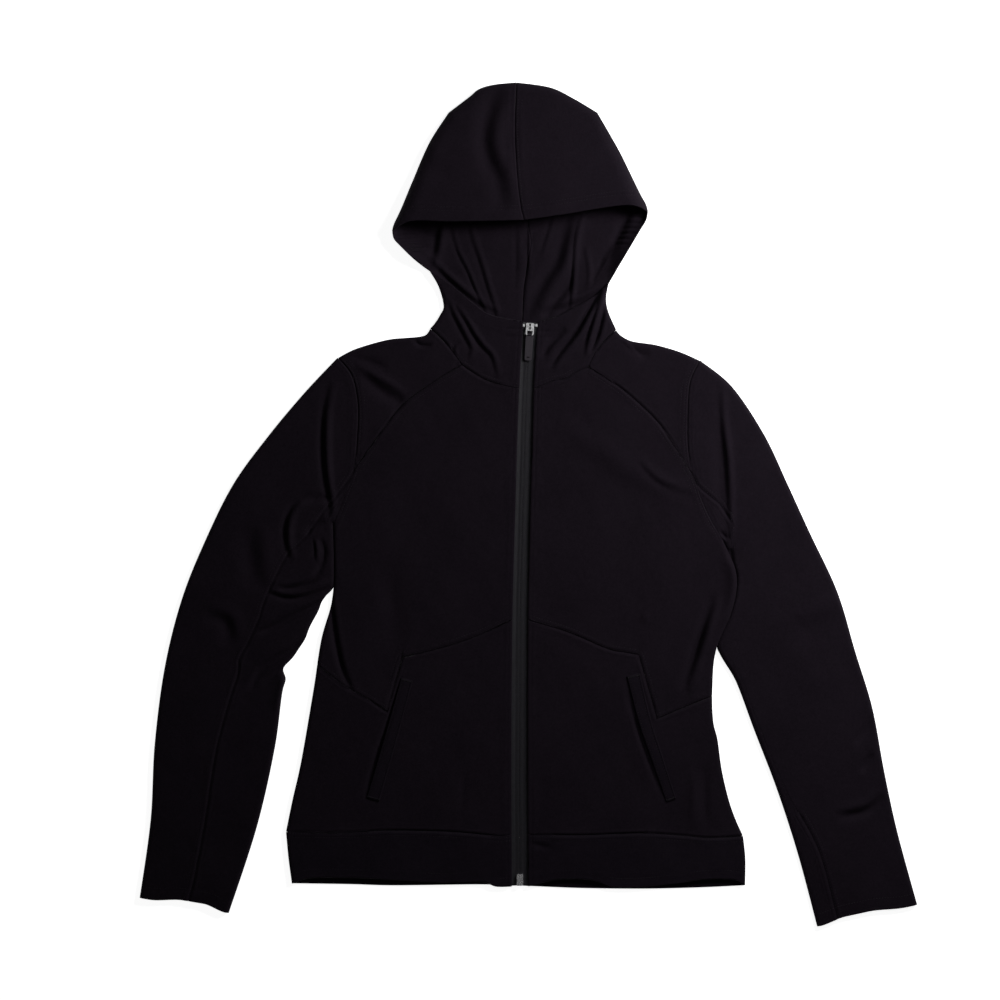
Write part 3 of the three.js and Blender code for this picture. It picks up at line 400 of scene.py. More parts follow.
# The edges at which the front turns over into the back.
TURNED = []
for side, on in PLAN.items():
    names = ("crown", "hood_side", "mouth_edge", "neck_fold", "shoulder", "side", "band_side")
    TURNED += [thin(on[name]) for name in names]
    TURNED += [thin(SLEEVE[side]["outer"], 61), thin(SLEEVE[side]["inner"], 61)]


def rounded(share):
    """A quarter ellipse: 0 at 0 with an upright start, level at 1."""
    return np.sqrt(1 - (1 - np.clip(share, 0, 1)) ** 2)


print("edges that turn over:", len(TURNED))

# %% Folds
STEEP = 2.33  # one over the crest of t exp(-t^2)


def fold_height(table, xy):
    """Sum of the table's folds. With t the distance from a fold's line over its width, positive on
    the left of its run, and s the share along it, a fold is sin(pi s)^0.7 exp(-t^2) times the sum
    of its ridge and of 2.33 t times its step, so that the step is the height of its crest."""
    total = np.zeros(xy.shape[:-1])
    for points, wide, ridge, step in table:
        line = spline(points, 25)
        low, top = line.min(0) - 3 * wide, line.max(0) + 3 * wide
        near = ((xy > low) & (xy < top)).all(-1)
        if not near.any():
            continue
        spot = xy[near]
        start, run = line[:-1], np.diff(line, axis=0)
        offset = spot[:, None] - start[None]
        share = np.clip((offset * run).sum(-1) / (run**2).sum(-1), 0, 1)
        offset -= share[..., None] * run
        square = (offset**2).sum(-1)
        k = square.argmin(1)
        rows = np.arange(len(k))
        along = (k + share[rows, k]) / len(run)
        hand = run[k, 0] * offset[rows, k, 1] - run[k, 1] * offset[rows, k, 0]
        t = np.sqrt(square[rows, k]) * np.sign(hand) / wide
        total[near] += np.sin(np.pi * along) ** 0.7 * np.exp(-(t**2)) * (ridge + STEEP * step * t)
    return total


PIXEL = 1.1  # a pixel's size in millimetres
ORIGIN = (528.5, 504.5)  # the pixel over the middle of the model


def photo(*points):
    """Places in plan of points that were read off the photograph."""
    return [((x - ORIGIN[0]) * PIXEL, (ORIGIN[1] - y) * PIXEL) for x, y in points]


def folds(rows, strong=1.0):
    """Rows of points, width, ridge and step, with the points turned into places."""
    return [
        (photo(*zip(points[::2], points[1::2])), wide, ridge * strong, step * strong)
        for points, wide, ridge, step in rows
    ]


FOLDS = folds([
    ((332, 380, 326, 413, 325, 449, 327, 478, 331, 503, 331, 520), 4.4, 0.6, 1.8),
    ((333, 497, 319, 498, 302, 502), 3, -1.5, 0),
    ((312, 496, 298, 504, 290, 516, 287, 530, 288, 545, 292, 560), 4.2, 0.5, 1.6),
    ((325, 520, 311, 527, 307, 536), 3, -1.4, 0),
    ((313, 577, 321, 566, 324, 552, 321, 538), 3, -1.6, 0),
    ((279, 588, 296, 585, 308, 580, 321, 569), 4, -0.5, 1.8),
    ((314, 538, 316, 549, 316, 562), 2.5, 0.2, 0.8),
    ((268, 591, 287, 596, 305, 594, 330, 584), 4, -0.6, 1.9),
    ((258, 632, 276, 623, 296, 612, 314, 603, 328, 595), 4.2, -1.9, 2.2),
    ((306, 634, 290, 648, 274, 658, 260, 669, 247, 689), 5, -2.0, -1.6),
    ((296, 668, 280, 672, 262, 684), 5, -1.0, 0.6),
    ((256, 525, 257, 545, 261, 587), 14, 0, 1.3),
    ((205, 612, 228, 620, 233, 645), 9, -1, 1.2),
    ((281, 671, 284, 688, 275, 710), 6, 1.5, 0),
    ((355, 364, 375, 375, 396, 387, 407, 396), 4, 1.8, 0),
    ((362, 374, 373, 385, 387, 395, 399, 402, 392, 416), 6, -2, 0),
    ((352, 358, 370, 362, 388, 369), 4, -1.3, 0),
    ((414, 339, 420, 345, 432, 345), 2.5, -1.8, 0),
    ((331, 590, 334, 618, 338, 645, 344, 670, 354, 693), 3.5, -1.8, 1.2),
    ((721, 384, 723, 422, 727, 456, 729, 490, 730, 538), 4, 1.5, 1.1),
    ((716, 420, 720, 470, 722, 520), 7, -1.2, 0),
    ((729, 533, 727, 538, 720, 531), 2.5, -1.6, 0),
    ((730, 548, 731, 555, 732, 563), 3, -2.2, 0),
    ((724, 552, 733, 574, 732, 594, 726, 612, 711, 630, 703, 655), 6, 2, 0),
    ((717, 596, 708, 620, 700, 645, 693, 668, 685, 692), 6, -0.8, 2.5),
    ((638, 460, 655, 478, 672, 487, 697, 495), 4.5, 0, 0.9),
    ((554, 425, 592, 444, 631, 470, 691, 495), 14, 1.6, 0),
    ((627, 342, 637, 353, 650, 354), 4, -1.6, 0),
    ((624, 338, 636, 354, 641, 356), 2.5, 1.2, 0),
    ((641, 615, 645, 617, 649, 619), 5, 0.8, 0),
    ((875, 713, 868, 728, 856, 745), 5, -1.7, 0),
    ((874, 753, 868, 763, 862, 773), 5, -1.7, 0.5),
    ((880, 793, 865, 808, 836, 814), 6, -0.6, -1.6),
    ((844, 595, 824, 606, 800, 622), 11, 1.8, 0),
    ((390, 560, 392, 600, 396, 650), 12, -1, 0),
    ((465, 770, 462, 800, 460, 820), 3, -0.5, 0),
    ((704, 765, 705, 800, 706, 830), 5, -1, 0),
    ((693, 770, 693.5, 800, 694, 830), 5, 0.8, 0),
    ((530, 842, 541, 845, 552, 847), 3, -0.9, 0.4),
    ((402, 676, 388.5, 720, 374, 763, 364, 800), 2.6, -1.9, 0),
    ((624, 672, 633, 715, 644.5, 752, 663, 800), 2.6, -1.2, 0),
], 1.35)
CROWN_FOLDS = folds([
    ((506, 86, 498, 105, 492.5, 122, 490, 141, 494, 160, 503, 180, 508, 212), 11, -0.6, 2.6),
    ((415, 165, 432, 170, 450, 172), 10, -1.2, 0),
])
COLLAR_FOLDS = folds([
    ((448, 300, 455, 316, 463, 331, 470.5, 346, 471, 351, 468, 360), 3.4, 0.5, 1.4),
    ((455, 305, 466, 320, 475, 335, 483, 346, 490, 353, 494, 361, 498, 379), 3.4, 0.5, 1.5),
    ((461, 344, 455.5, 346, 454, 355), 2.5, 0, 1.2),
    ((606, 284, 591, 310, 581, 328, 572, 341, 561, 355, 552, 369), 4.2, -0.6, 3.4),
    ((604, 290, 596, 315, 590, 335, 585, 356), 3.5, 2.2, 2.0),
    ((606, 306, 600, 332, 592, 354), 3.5, -1.4, 1.8),
    ((568, 331, 553, 344, 543, 359), 5, -1.6, 2.0),
    ((503, 329, 513, 329.2, 524, 329), 1.7, -0.7, 0),
    ((503, 337, 513, 337.2, 524, 337), 1.7, -0.7, 0),
    ((535, 331.5, 547, 331.7, 561, 331.5), 1.7, -0.7, 0),
    ((535, 337.5, 547, 337, 561, 336), 1.7, -0.7, 0),
])
LINING_FOLDS = folds([
    ((449, 208, 452, 229, 458, 251, 467.6, 270, 477, 293, 484, 308, 489, 324), 2.4, 0, 0.75),
    ((468, 208, 472, 235, 481, 262, 489, 289, 495, 308, 499, 328), 3.2, 0.3, 0.75),
    ((442, 206, 440, 232, 436, 254, 430, 270), 5, 0.6, 1.3),
    ((516, 208, 517.6, 227, 518, 254, 517, 292), 3, 0, 0.45),
    ((529, 206, 528.4, 240, 528.4, 267, 525.7, 289, 523, 322), 2.4, 0, 0.55),
    ((554, 208, 551, 224, 546, 240, 540, 258), 3, 0, 0.55),
    ((577, 204, 573, 219, 562, 262, 550, 281, 538, 303, 529, 324), 9, 0.9, 2.0),
    ((584, 204, 580, 220, 575.7, 240, 574, 262, 573, 278, 571, 300, 568, 322), 3, 0.4, 1.1),
    ((575, 278, 566, 294, 556, 306, 547, 318), 5, 0, 1.2),
    ((585, 244, 588, 262, 589, 276, 587, 292), 3, 0.8, 0.3),
    ((612, 244, 604, 262, 593, 284), 3.5, 0, 0.5),
    ((614, 276, 600, 289, 584, 298, 564, 305, 540, 312), 6, 0, -2.0),
    ((416, 250, 432, 262, 447, 276, 463, 290, 480, 303, 502, 314), 4, 0, 1.2),
    ((637, 200, 630, 220, 621, 240, 611, 260), 6, 0, 2.0),
    ((412, 226, 424, 232, 438, 238), 6, -1.2, 0),
], 1.4)
print("folds:", [len(table) for table in (FOLDS, CROWN_FOLDS, COLLAR_FOLDS, LINING_FOLDS)])

# %% [markdown]
# ## Seams
#
# On knitwear a seam is a thin groove. The turnings lie to one side beneath and lift the cloth a
# little, and two rows of topstitching hold them down. All this could be a bump in the material,
# but then it would be missing from the mesh and from its edges. So it is part of the height: lift,
# dip and pinch are profiles over the distance from the seam, and the groove comes from the rounded
# edges of the two pieces, which stand a thread apart.

# %% Slow unevenness
def soft_noise(xy, seed, scale):
    """About 1 high: the mean of six sine waves, whose directions, phases and lengths near the
    scale are drawn from the seed."""
    draw = np.random.default_rng(seed)
    total = np.zeros(xy.shape[:-1])
    for _ in range(6):
        angle, phase = draw.uniform(0, 2 * np.pi, 2)
        length = scale * draw.uniform(0.6, 1.6)
        along = xy[..., 0] * np.cos(angle) + xy[..., 1] * np.sin(angle)
        total += np.sin(along * 2 * np.pi / length + phase)
    return total / 6


# Waves of each kind of cloth: height, seed and length.
UNEVEN = {
    "front": [(0.35, 3, 60), (0.16, 4, 24)], "crown": [(0.5, 5, 55)], "collar": [(0.2, 6, 22)],
    "lining": [(0.3, 8, 30)], "pucker": [(0.22, 9, 9)],
}


def uneven(kind, xy):
    """Sum of a kind's waves."""
    return sum(high * soft_noise(xy, seed, scale) for high, seed, scale in UNEVEN[kind])


for high, _, long in UNEVEN["front"]:
    print(f"wave of the front: {high} mm high and about {long} mm long")

# %% Seam profile
TURNINGS_HIGH, TURNINGS_END = 0.25, 1.8  # their lift, and the distance over which it ends
STITCH_DEEP, STITCH_WIDE = 0.3, 0.75
DIP_WIDE = 1.2
PUCKER_END = 5


def lift(distance, width):
    """Turnings under the cloth: high up to the width, and then down over 1.8 mm."""
    return TURNINGS_HIGH * (1 - smooth(width, width + TURNINGS_END, distance))


def pinch(distance, where, deep=STITCH_DEEP):
    """Pull of a row of stitches: a narrow trough at one distance from the seam."""
    return -deep * np.exp(-(((distance - where) / STITCH_WIDE) ** 2))


def seam_relief(xy, seams):
    """Lift, pinch, dip and pucker of every seam near each point. A dip is -d exp(-(distance /
    1.2)^2), and the pucker is slow noise that ends 5 mm past the turnings."""
    total = np.zeros(xy.shape[:-1])
    for path, rows, width, dip in seams:
        line = thin(path, 61)
        low, top = line.min(0) - 12 - width, line.max(0) + 12 + width
        near = ((xy > low) & (xy < top)).all(-1)
        if not near.any():
            continue
        distance = nearest(xy[near], [line])
        total[near] = np.maximum(total[near], lift(distance, width))
        total[near] -= dip * np.exp(-((distance / DIP_WIDE) ** 2))
        total[near] += uneven("pucker", xy[near]) * (1 - smooth(width, width + PUCKER_END, distance))
        for row in rows:
            total[near] += pinch(distance, row)
    return total


# Each kind of seam: how far from it its rows of topstitching run, and how wide its turnings are.
PANEL_SEAM, ARM_SEAM, NECK_SEAM = ((1.5, 5.3), 6), ((3.3, 7.7), 8.5), ((1.5, 4.8), 5)
ZIP_SEAM, MOUTH_HEM, CROWN_SEAM = ((4.4, 8.4), 9.5), ((12, 16), 17), ((3, 7), 8)
print("topstitching beside a panel's seam at", PANEL_SEAM[0], "mm")

# %% Heights of front and back
def front_height(xy, relief=0):
    """Front layer: a quarter ellipse from the rim up to the folded cloth, which stays above the
    layer under it."""
    full = FRONT + fold_height(FOLDS, xy) + uneven("front", xy) + relief
    full = np.maximum(full, FRONT_LEAST)
    return RIM + (full - RIM) * rounded(nearest(xy, TURNED) / FRONT_ROLL)


def back_height(xy):
    """Back layer: a quarter ellipse from the rim down to the table."""
    return RIM + (CLOTH / 2 - RIM) * rounded(nearest(xy, TURNED) / BACK_ROLL)


chest = np.array([[-100.0, 20.0]])
print("middle of the cloth on the chest:", front_height(chest).round(2), back_height(chest), "mm")

# %% Heights of the hood
# Along the hood's outer edge, from the crown's corner down to the neck.
HOOD_EDGE = np.array([
    # share of the edge, lift, roll of the layer above, roll of the layer below
    (0, 3.6, 9, 6), (0.25, 6.5, 13, 12), (0.5, 13, 16, 22), (0.62, 13.5, 16, 24),
    (0.74, 7, 7, 12), (0.86, 3.2, 4.5, 3.2), (1, RIM, FRONT_ROLL, BACK_ROLL),
])
LIFT, ROLL_ABOVE, ROLL_BELOW = 1, 2, 3
HOOD_CORNER, MOUTH_SIDE = 0.5, 0.74
RUFFLE, RUFFLE_HIGH = 0.0187, 0.7  # a wave of the mouth's hem, as a share of the edge; its height
CROWN_LOW, CROWN_RISE = 9.5, 13.5  # height of the hood at its top, and what the mouth lies above it
COLLAR_DEEPEST = -2.5


def hood_edge(column, share):
    """A column of the hood edge's table, eased between its rows by 3s^2 - 2s^3."""
    key, value = HOOD_EDGE[:, 0], HOOD_EDGE[:, column]
    i = np.clip(np.searchsorted(key, share, "right") - 1, 0, len(key) - 2)
    eased = smooth(0, 1, (share - key[i]) / (key[i + 1] - key[i]))
    return value[i] + (value[i + 1] - value[i]) * eased


def from_edge(xy, share, full):
    """Layer above, from the edge's lift up to its full height by a quarter ellipse."""
    edge = hood_edge(LIFT, share)
    return edge + (full - edge) * rounded(nearest(xy, TURNED) / hood_edge(ROLL_ABOVE, share))


def crown_height(xy, v):
    """Hood over the face: its height grows by v^1.3 towards the mouth."""
    full = CROWN_LOW + CROWN_RISE * v**1.3 + fold_height(CROWN_FOLDS, xy) + uneven("crown", xy)
    return from_edge(xy, v * HOOD_CORNER, full)


def collar_height(xy, v):
    """Collar in front: its height falls evenly towards the neck seam."""
    folded = np.maximum(fold_height(COLLAR_FOLDS, xy), COLLAR_DEEPEST)
    full = COLLAR + (FRONT - COLLAR) * v + folded
    return from_edge(xy, MOUTH_SIDE + (1 - MOUTH_SIDE) * v, full + uneven("collar", xy))


def lining_height(xy, v):
    """Back of the hood: from the edge's lift down to the table, as a bowl beside the mouth. Along
    the mouth's hem the cloth is ruffled by a sine that fades 20 mm inside."""
    inside = np.clip(nearest(xy, TURNED) / hood_edge(ROLL_BELOW, v), 0, 1)
    bowl = smooth(HOOD_CORNER, HOOD_CORNER + 0.06, v) * (1 - smooth(MOUTH_SIDE - 0.06, MOUTH_SIDE, v))
    down = rounded(inside) * (1 - bowl) + (1 - (1 - inside) ** 2) * bowl
    edge = hood_edge(LIFT, v)
    far = nearest(xy, [thin(PLAN[side]["mouth_edge"]) for side in PLAN])
    hem = smooth(1, 5, far) * (1 - smooth(12, 20, far))
    hem = hem * smooth(0.5, 0.51, v) * (1 - smooth(0.6, 0.63, v))
    ruffle = RUFFLE_HIGH * np.sin(2 * np.pi * (v - HOOD_CORNER) / RUFFLE) * hem
    folded = fold_height(LINING_FOLDS, xy) + uneven("lining", xy)
    full = LINING + folded * smooth(0.46, 0.52, v)
    return edge + (np.maximum(full, CLOTH / 2) - edge) * down + ruffle


print("highest place of the hood's edge:", HOOD_EDGE[:, LIFT].max(), "mm")

# %% [markdown]
# ## From a grid to a piece of cloth
#
# A cut piece of knit has four sides, more or less, and a Coons patch is a grid stretched between
# four edge curves. A flat shape could also be filled with triangles, but a grid keeps the rows of
# points along the seams, where they are needed. Rows crowd together near the edges, where the cloth
# rounds over. The grid gives the middle of the cloth, Solidify makes it a wall, and a small Bevel
# rounds the wall's rim as a folded edge is.

# %% Patches and spacing
def coons(top, bottom, left, right, u, v):
    """Place in a patch: the blend of top and bottom by v, plus the blend of left and right by u,
    less the blend of the four corners."""
    a, b, c, d = top[0], top[-1], bottom[0], bottom[-1]
    across, down = u[..., None], v[..., None]
    edges = ((1 - down) * at(top, u) + down * at(bottom, u)
             + (1 - across) * at(left, v) + across * at(right, v))
    corners = (1 - across) * ((1 - down) * a + down * c) + across * ((1 - down) * b + down * d)
    return edges - corners


# Distances of the rows nearest to an edge, and the steps elsewhere.
NEAR = np.array([0, 0.9, 1.7, 2.6, 3.6, 4.7, 6.0, 7.4])
STEP, SMALL_STEP = 2.3, 1.2


def crowded(length, step=STEP):
    """Shares along a length in millimetres: close together at either end, even between. A length
    that is too short for that gets small even steps."""
    first, last = NEAR / length, 1 - NEAR[::-1] / length
    if first[-1] > 0.45:
        return np.linspace(0, 1, max(9, int(length / SMALL_STEP)))
    count = max(2, int(round((last[0] - first[-1]) * length / step)))
    return np.concatenate([first, np.linspace(first[-1], last[0], count + 1)[1:-1], last])


def grid(us, vs):
    """Two arrays with every pair of shares."""
    return np.meshgrid(us, vs)


print("rows across a panel of 215 mm:", len(crowded(215)))

# %% From points to an object
def sheet_faces(rows, columns):
    """Corner numbers of the grid's quads: each with the next across, both below, and back."""
    corner = np.arange(rows * columns).reshape(rows, columns)
    ways = corner[:-1, :-1], corner[:-1, 1:], corner[1:, 1:], corner[1:, :-1]
    return np.stack(ways, -1).reshape(-1, 4)


def facing(place, up, columns=slice(None)):
    """Quads of a grid, turned round if the summed plan area of some columns has the wrong sign."""
    part = place[:, columns, :2]
    one, two = part[1:, 1:] - part[:-1, :-1], part[1:, :-1] - part[:-1, 1:]
    area = (one[..., 0] * two[..., 1] - one[..., 1] * two[..., 0]).sum()
    quads = sheet_faces(*place.shape[:2])
    return quads if (area > 0) == up else quads[:, ::-1]


def add_object(name, mesh):
    """An object for a mesh, at the origin."""
    mesh.shade_smooth()
    item = bpy.data.objects.new(name, mesh)
    bpy.context.collection.objects.link(item)
    return item


MERGE, SLIVER = 2e-6, 1e-7  # in metres


def weld(mesh):
    """Joins points that lie on each other, such as those of two grids with a common edge."""
    work = bmesh.new()
    work.from_mesh(mesh)
    bmesh.ops.remove_doubles(work, verts=work.verts, dist=MERGE)
    bmesh.ops.dissolve_degenerate(work, edges=work.edges, dist=SLIVER)
    work.to_mesh(mesh)
    work.free()


def cloth(name, sheets, thick=CLOTH, bevel=0.6, clamp=False):
    """A wall of cloth from one or more grids of points (rows, columns, xyz) with uv in mm."""
    points = np.vstack([place.reshape(-1, 3) for place, *_ in sheets])
    uvs = np.vstack([uv.reshape(-1, 2) for _, uv, *_ in sheets])
    quads, count = [], 0
    for place, _, *turn in sheets:
        quads.append(facing(place, *turn) + count)
        count += place.shape[0] * place.shape[1]
    mesh = bpy.data.meshes.new(name)
    mesh.from_pydata((points * MM).tolist(), [], np.vstack(quads).tolist())
    layer = mesh.uv_layers.new(name="cloth")
    corners = np.empty(len(mesh.loops), int)
    mesh.loops.foreach_get("vertex_index", corners)
    layer.data.foreach_set("uv", (uvs[corners] * MM).ravel())
    if len(sheets) > 1:
        weld(mesh)
    item = add_object(name, mesh)
    wall = item.modifiers.new("wall", "SOLIDIFY")
    wall.thickness, wall.offset, wall.use_rim = thick * MM, 0, True
    rim = item.modifiers.new("rim", "BEVEL")
    rim.width, rim.segments, rim.use_clamp_overlap = bevel * MM, 2, clamp
    rim.limit_method, rim.angle_limit = "ANGLE", np.radians(55)
    return item


def area_of(item):
    """Area of a mesh's faces in square metres, before its modifiers."""
    areas = np.empty(len(item.data.polygons))
    item.data.polygons.foreach_get("area", areas)
    return float(areas.sum())


SEAM_GAP = 0.2  # how far a panel's edge stands back from the seam's line


def pulled_in(place, sides=("top", "bottom", "left", "right")):
    """Moves the grid's edges inwards in plan, so that neighbours stand a seam's gap apart. Each
    edge point goes towards the point three rows in."""
    out = place.copy()
    for side in sides:
        turned = out if side in ("top", "bottom") else out.swapaxes(0, 1)
        view = turned if side in ("top", "left") else turned[::-1]
        inward = view[3] - view[0]
        inward /= np.maximum(np.linalg.norm(inward, axis=-1, keepdims=True), 1e-9)
        view[0] += inward * SEAM_GAP
    return out

# %% Finishing a piece
DONE = {}


def finish_piece(item, material, slot, replaces, flat=None, area=None, body="garment"):
    """Gives a piece its material, hangs it on its body's empty and hides the solids that it replaces.
    """
    item.data.materials.clear()
    item.data.materials.append(material)
    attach(item, body)
    if replaces:
        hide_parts(*replaces)
    DONE[item.name] = item
    triangles = 2 * len(item.data.polygons)
    print(f"{item.name}: {triangles} triangles of cloth", f"{area * 1e4:.0f} cm2" if area else "")

# %% [markdown]
# ## Finishes
#
# Black knit is hard to show: almost all of its look is in how its folds catch light. The colour is
# nearly even, a little lighter where the cloth is rubbed. The knit's columns and rows could be
# meshed yarn, but a column is 0.7 mm wide, so sines that feed a bump do as well. They read the
# piece's own UV map, which is in real metres, so they follow each panel's grain at their true size.
# Thread, tape and metals get noise of their own scale, because a surface that is the same all over
# looks like plastic.

# %% A small language for shader maths
class Value:
    """One output of a shader node. Python's signs on it add Math nodes, from either side."""

    def __init__(self, finish, socket):
        self.finish, self.socket = finish, socket

    def maths(self, operation, other=None, reflected=False):
        """A Math node on this value and another, which comes first if reflected."""
        pair = (other, self) if reflected else (self, other)
        inputs = {i: item for i, item in enumerate(pair) if item is not None}
        return self.finish.node("ShaderNodeMath", {"operation": operation}, inputs)

    def __add__(self, other):
        return self.maths("ADD", other)

    def __sub__(self, other):
        return self.maths("SUBTRACT", other)

    def __mul__(self, other):
        return self.maths("MULTIPLY", other)

    def __rsub__(self, other):
        return self.maths("SUBTRACT", other, reflected=True)

    __radd__, __rmul__ = __add__, __mul__

    def sine(self):
        return self.maths("SINE")

    def least(self, other):
        return self.maths("MINIMUM", other)

    def most(self, other):
        return self.maths("MAXIMUM", other)


class Finish:
    """A material and a short way to write its nodes."""

    def __init__(self, name):
        self.material = bpy.data.materials.new(name)
        self.material.use_nodes = True
        self.tree = self.material.node_tree
        self.shader = self.tree.nodes["Principled BSDF"]

    def node(self, kind, settings=None, inputs=None, output=0):
        """Adds a node: its settings first, then a value or a link for each named socket."""
        new = self.tree.nodes.new(kind)
        for key, value in (settings or {}).items():
            setattr(new, key, value)
        for key, value in (inputs or {}).items():
            self.plug(new.inputs[key], value)
        return Value(self, new.outputs[output])

    def plug(self, socket, value):
        """Links a value to a socket, or sets the socket's own number or colour."""
        if isinstance(value, Value):
            self.tree.links.new(value.socket, socket)
        else:
            socket.default_value = value

    def set(self, **sockets):
        """Numbers or links for the shader's own sockets."""
        for key, value in sockets.items():
            self.plug(self.shader.inputs[key.replace("_", " ")], value)

    def split(self, vector):
        """x, y and z of a vector."""
        parts = self.tree.nodes.new("ShaderNodeSeparateXYZ")
        self.tree.links.new(vector.socket, parts.inputs[0])
        return [Value(self, out) for out in parts.outputs]

    def noise(self, vector, scale, detail=2.0, rough=0.5):
        """Cloudy noise of a vector."""
        inputs = {"Vector": vector, "Scale": scale, "Detail": detail, "Roughness": rough}
        return self.node("ShaderNodeTexNoise", {}, inputs, "Fac")

    def blend(self, factor, first, second):
        """Mix of two colours."""
        mix = self.tree.nodes.new("ShaderNodeMix")
        mix.data_type = "RGBA"
        self.plug(mix.inputs[0], factor)
        self.plug(mix.inputs[6], first)
        self.plug(mix.inputs[7], second)
        return Value(self, mix.outputs[2])

    def bump(self, height, distance, strength=1.0):
        """A relief of the shader's normal, as high as the distance in metres."""
        inputs = {"Height": height, "Distance": distance, "Strength": strength}
        self.plug(self.shader.inputs["Normal"], self.node("ShaderNodeBump", {}, inputs))

# %% Knit
def knit_finish(name, dark, light, column=0.0007, row=0.0006, rough=0.85):
    """Fine interlock knit: upright columns with a soft V in each row, and slow cloudy wear."""
    f = Finish(name)
    uv = f.node("ShaderNodeUVMap", {"uv_map": "cloth"})
    place = f.node("ShaderNodeTexCoord", {}, {}, "Object")
    u, v, _ = f.split(uv)
    columns = (u * (2 * np.pi / column)).sine()
    rows = ((v + (columns * (row * 0.2))) * (2 * np.pi / row)).sine()
    cloudy = f.noise(place, 16, 3, 0.6)  # wear, in patches of 6 cm
    fuzz = f.noise(place, 900, 2, 0.7)  # fibres, 1 mm
    soft = f.noise(place, 120, 3, 0.6)  # give of the cloth, 8 mm
    grain = f.noise(place, 420, 4, 0.8)  # uneven yarn, 2 mm
    shade = (cloudy * 0.5 + fuzz * 0.4 + grain * 1.3 + columns * 0.03 - 0.6).least(1.0).most(0.0)
    f.set(Base_Color=f.blend(shade, dark, light), Roughness=(rough - 0.12) + fuzz * 0.2)
    f.set(Specular_IOR_Level=0.05, Sheen_Weight=0.02, Sheen_Roughness=0.4)
    f.bump(columns * 0.12 + rows * 0.1 + fuzz * 0.5 + soft * 1.8, 0.00022, 0.8)
    return f.material


def plain_finish(name, colour, rough, metal=0.0, scratch=0.1, scale=500, gloss=0.5):
    """A smooth hard or coated finish with slight unevenness in its colour and gloss."""
    f = Finish(name)
    place = f.node("ShaderNodeTexCoord", {}, {}, "Object")
    wear = f.noise(place, scale, 3, 0.6)
    lighter = tuple(min(1.0, part * 1.35 + 0.004) for part in colour[:3]) + (1,)
    f.set(Base_Color=f.blend(wear, colour, lighter), Metallic=metal, Specular_IOR_Level=gloss)
    f.set(Roughness=(rough - scratch / 2) + wear * scratch)
    f.bump(wear, 0.00002, 0.5)
    return f.material


ZIGZAG, TWILL = 0.0048, 0.0019  # width of one turn and back, and the twill's pitch, in metres


def tape_finish(name, dark, light):
    """Woven tape under a thin coat: a herringbone whose twill turns every 2.4 mm of its width."""
    f = Finish(name)
    u, v, _ = f.split(f.node("ShaderNodeUVMap", {"uv_map": "cloth"}))
    place = f.node("ShaderNodeTexCoord", {}, {}, "Object")
    zigzag = (u * (1 / ZIGZAG)).maths("PINGPONG", 0.5)
    twill = (v * (2 * np.pi / TWILL) + zigzag * 15).sine()
    patchy = f.noise(place, 260, 3, 0.7)
    shade = (twill * 0.2 + patchy * 1.3 - 0.2).least(1.0).most(0.0)
    f.set(Base_Color=f.blend(shade, dark, light), Specular_IOR_Level=0.3, Roughness=0.5 + patchy * 0.15)
    f.bump(twill * 0.5 + patchy, 0.00012, 0.6)
    return f.material

# %% The finishes
KNIT = knit_finish("black knit", (0.0040, 0.0025, 0.0047, 1), (0.0112, 0.0077, 0.0122, 1))
TRIM = knit_finish("black knit of the trims", (0.0037, 0.0025, 0.0047, 1),
                   (0.0102, 0.0071, 0.0115, 1), column=0.0008, row=0.0007)
THREAD = plain_finish("black thread", (0.0076, 0.0060, 0.0084, 1), rough=0.65, scale=2500, gloss=0.12)
TAPE = tape_finish("coated zip tape", (0.0046, 0.0041, 0.0060, 1), (0.0155, 0.0142, 0.0190, 1))
SILVER = plain_finish("polished zip metal", (0.93, 0.92, 0.95, 1),
                      rough=0.26, metal=1.0, scratch=0.12, scale=700)
GUNMETAL = plain_finish("dark zip metal", (0.075, 0.067, 0.078, 1),
                        rough=0.4, metal=1.0, scratch=0.14, scale=600)
print("finishes:", [m.name for m in (KNIT, TRIM, THREAD, TAPE, SILVER, GUNMETAL)])

# %% [markdown]
# ## Body panels
#
# Yokes, fronts and hem bands are cut apart and sewn, so each is a patch of its own between its
# seams, with the seams' relief in its height. They could be one large sheet with lines on it, but
# only real gaps catch the light as seams do. The back is a patch from side to side, and the back
# band another. Front and back lie on each other as the real layers do.

# %% Lines beside seams
STITCHED = 241  # places on a line of stitching


def beside(path, distance):
    """A path moved sideways in plan, to the left of its run for a positive distance: each place
    goes along the slope turned by a right angle."""
    fine = at(path, np.linspace(0, 1, STITCHED))
    slope = np.gradient(fine, axis=0)
    slope /= np.maximum(np.linalg.norm(slope, axis=1, keepdims=True), 1e-9)
    return fine + np.stack([-slope[:, 1], slope[:, 0]], -1) * distance


BAND_HEM, CUFF_HEM = 10, 13  # height of the hems at the garment's foot and at the cuffs


def beside_hem(side):
    """The sewing line of the hem band, above its foot."""
    return beside(PLAN[side]["band_foot"], -PLAN[side]["away"] * BAND_HEM)


def sleeve_seam(side, start, end):
    """A stretch of a sleeve's front seam in plan, between two stations."""
    station = np.linspace(start, end, STITCHED)
    return SLEEVE[side]["place"](station, at(SLEEVE[side]["seam"], station)[:, 0])

# %% The seams that show on the front
# Stations between which a sleeve's front seam shows.
SEAM_SHOWS = {"right": [(0.0, 1.0)], "left": [(0.0, 0.1), (0.84, 1.0)]}
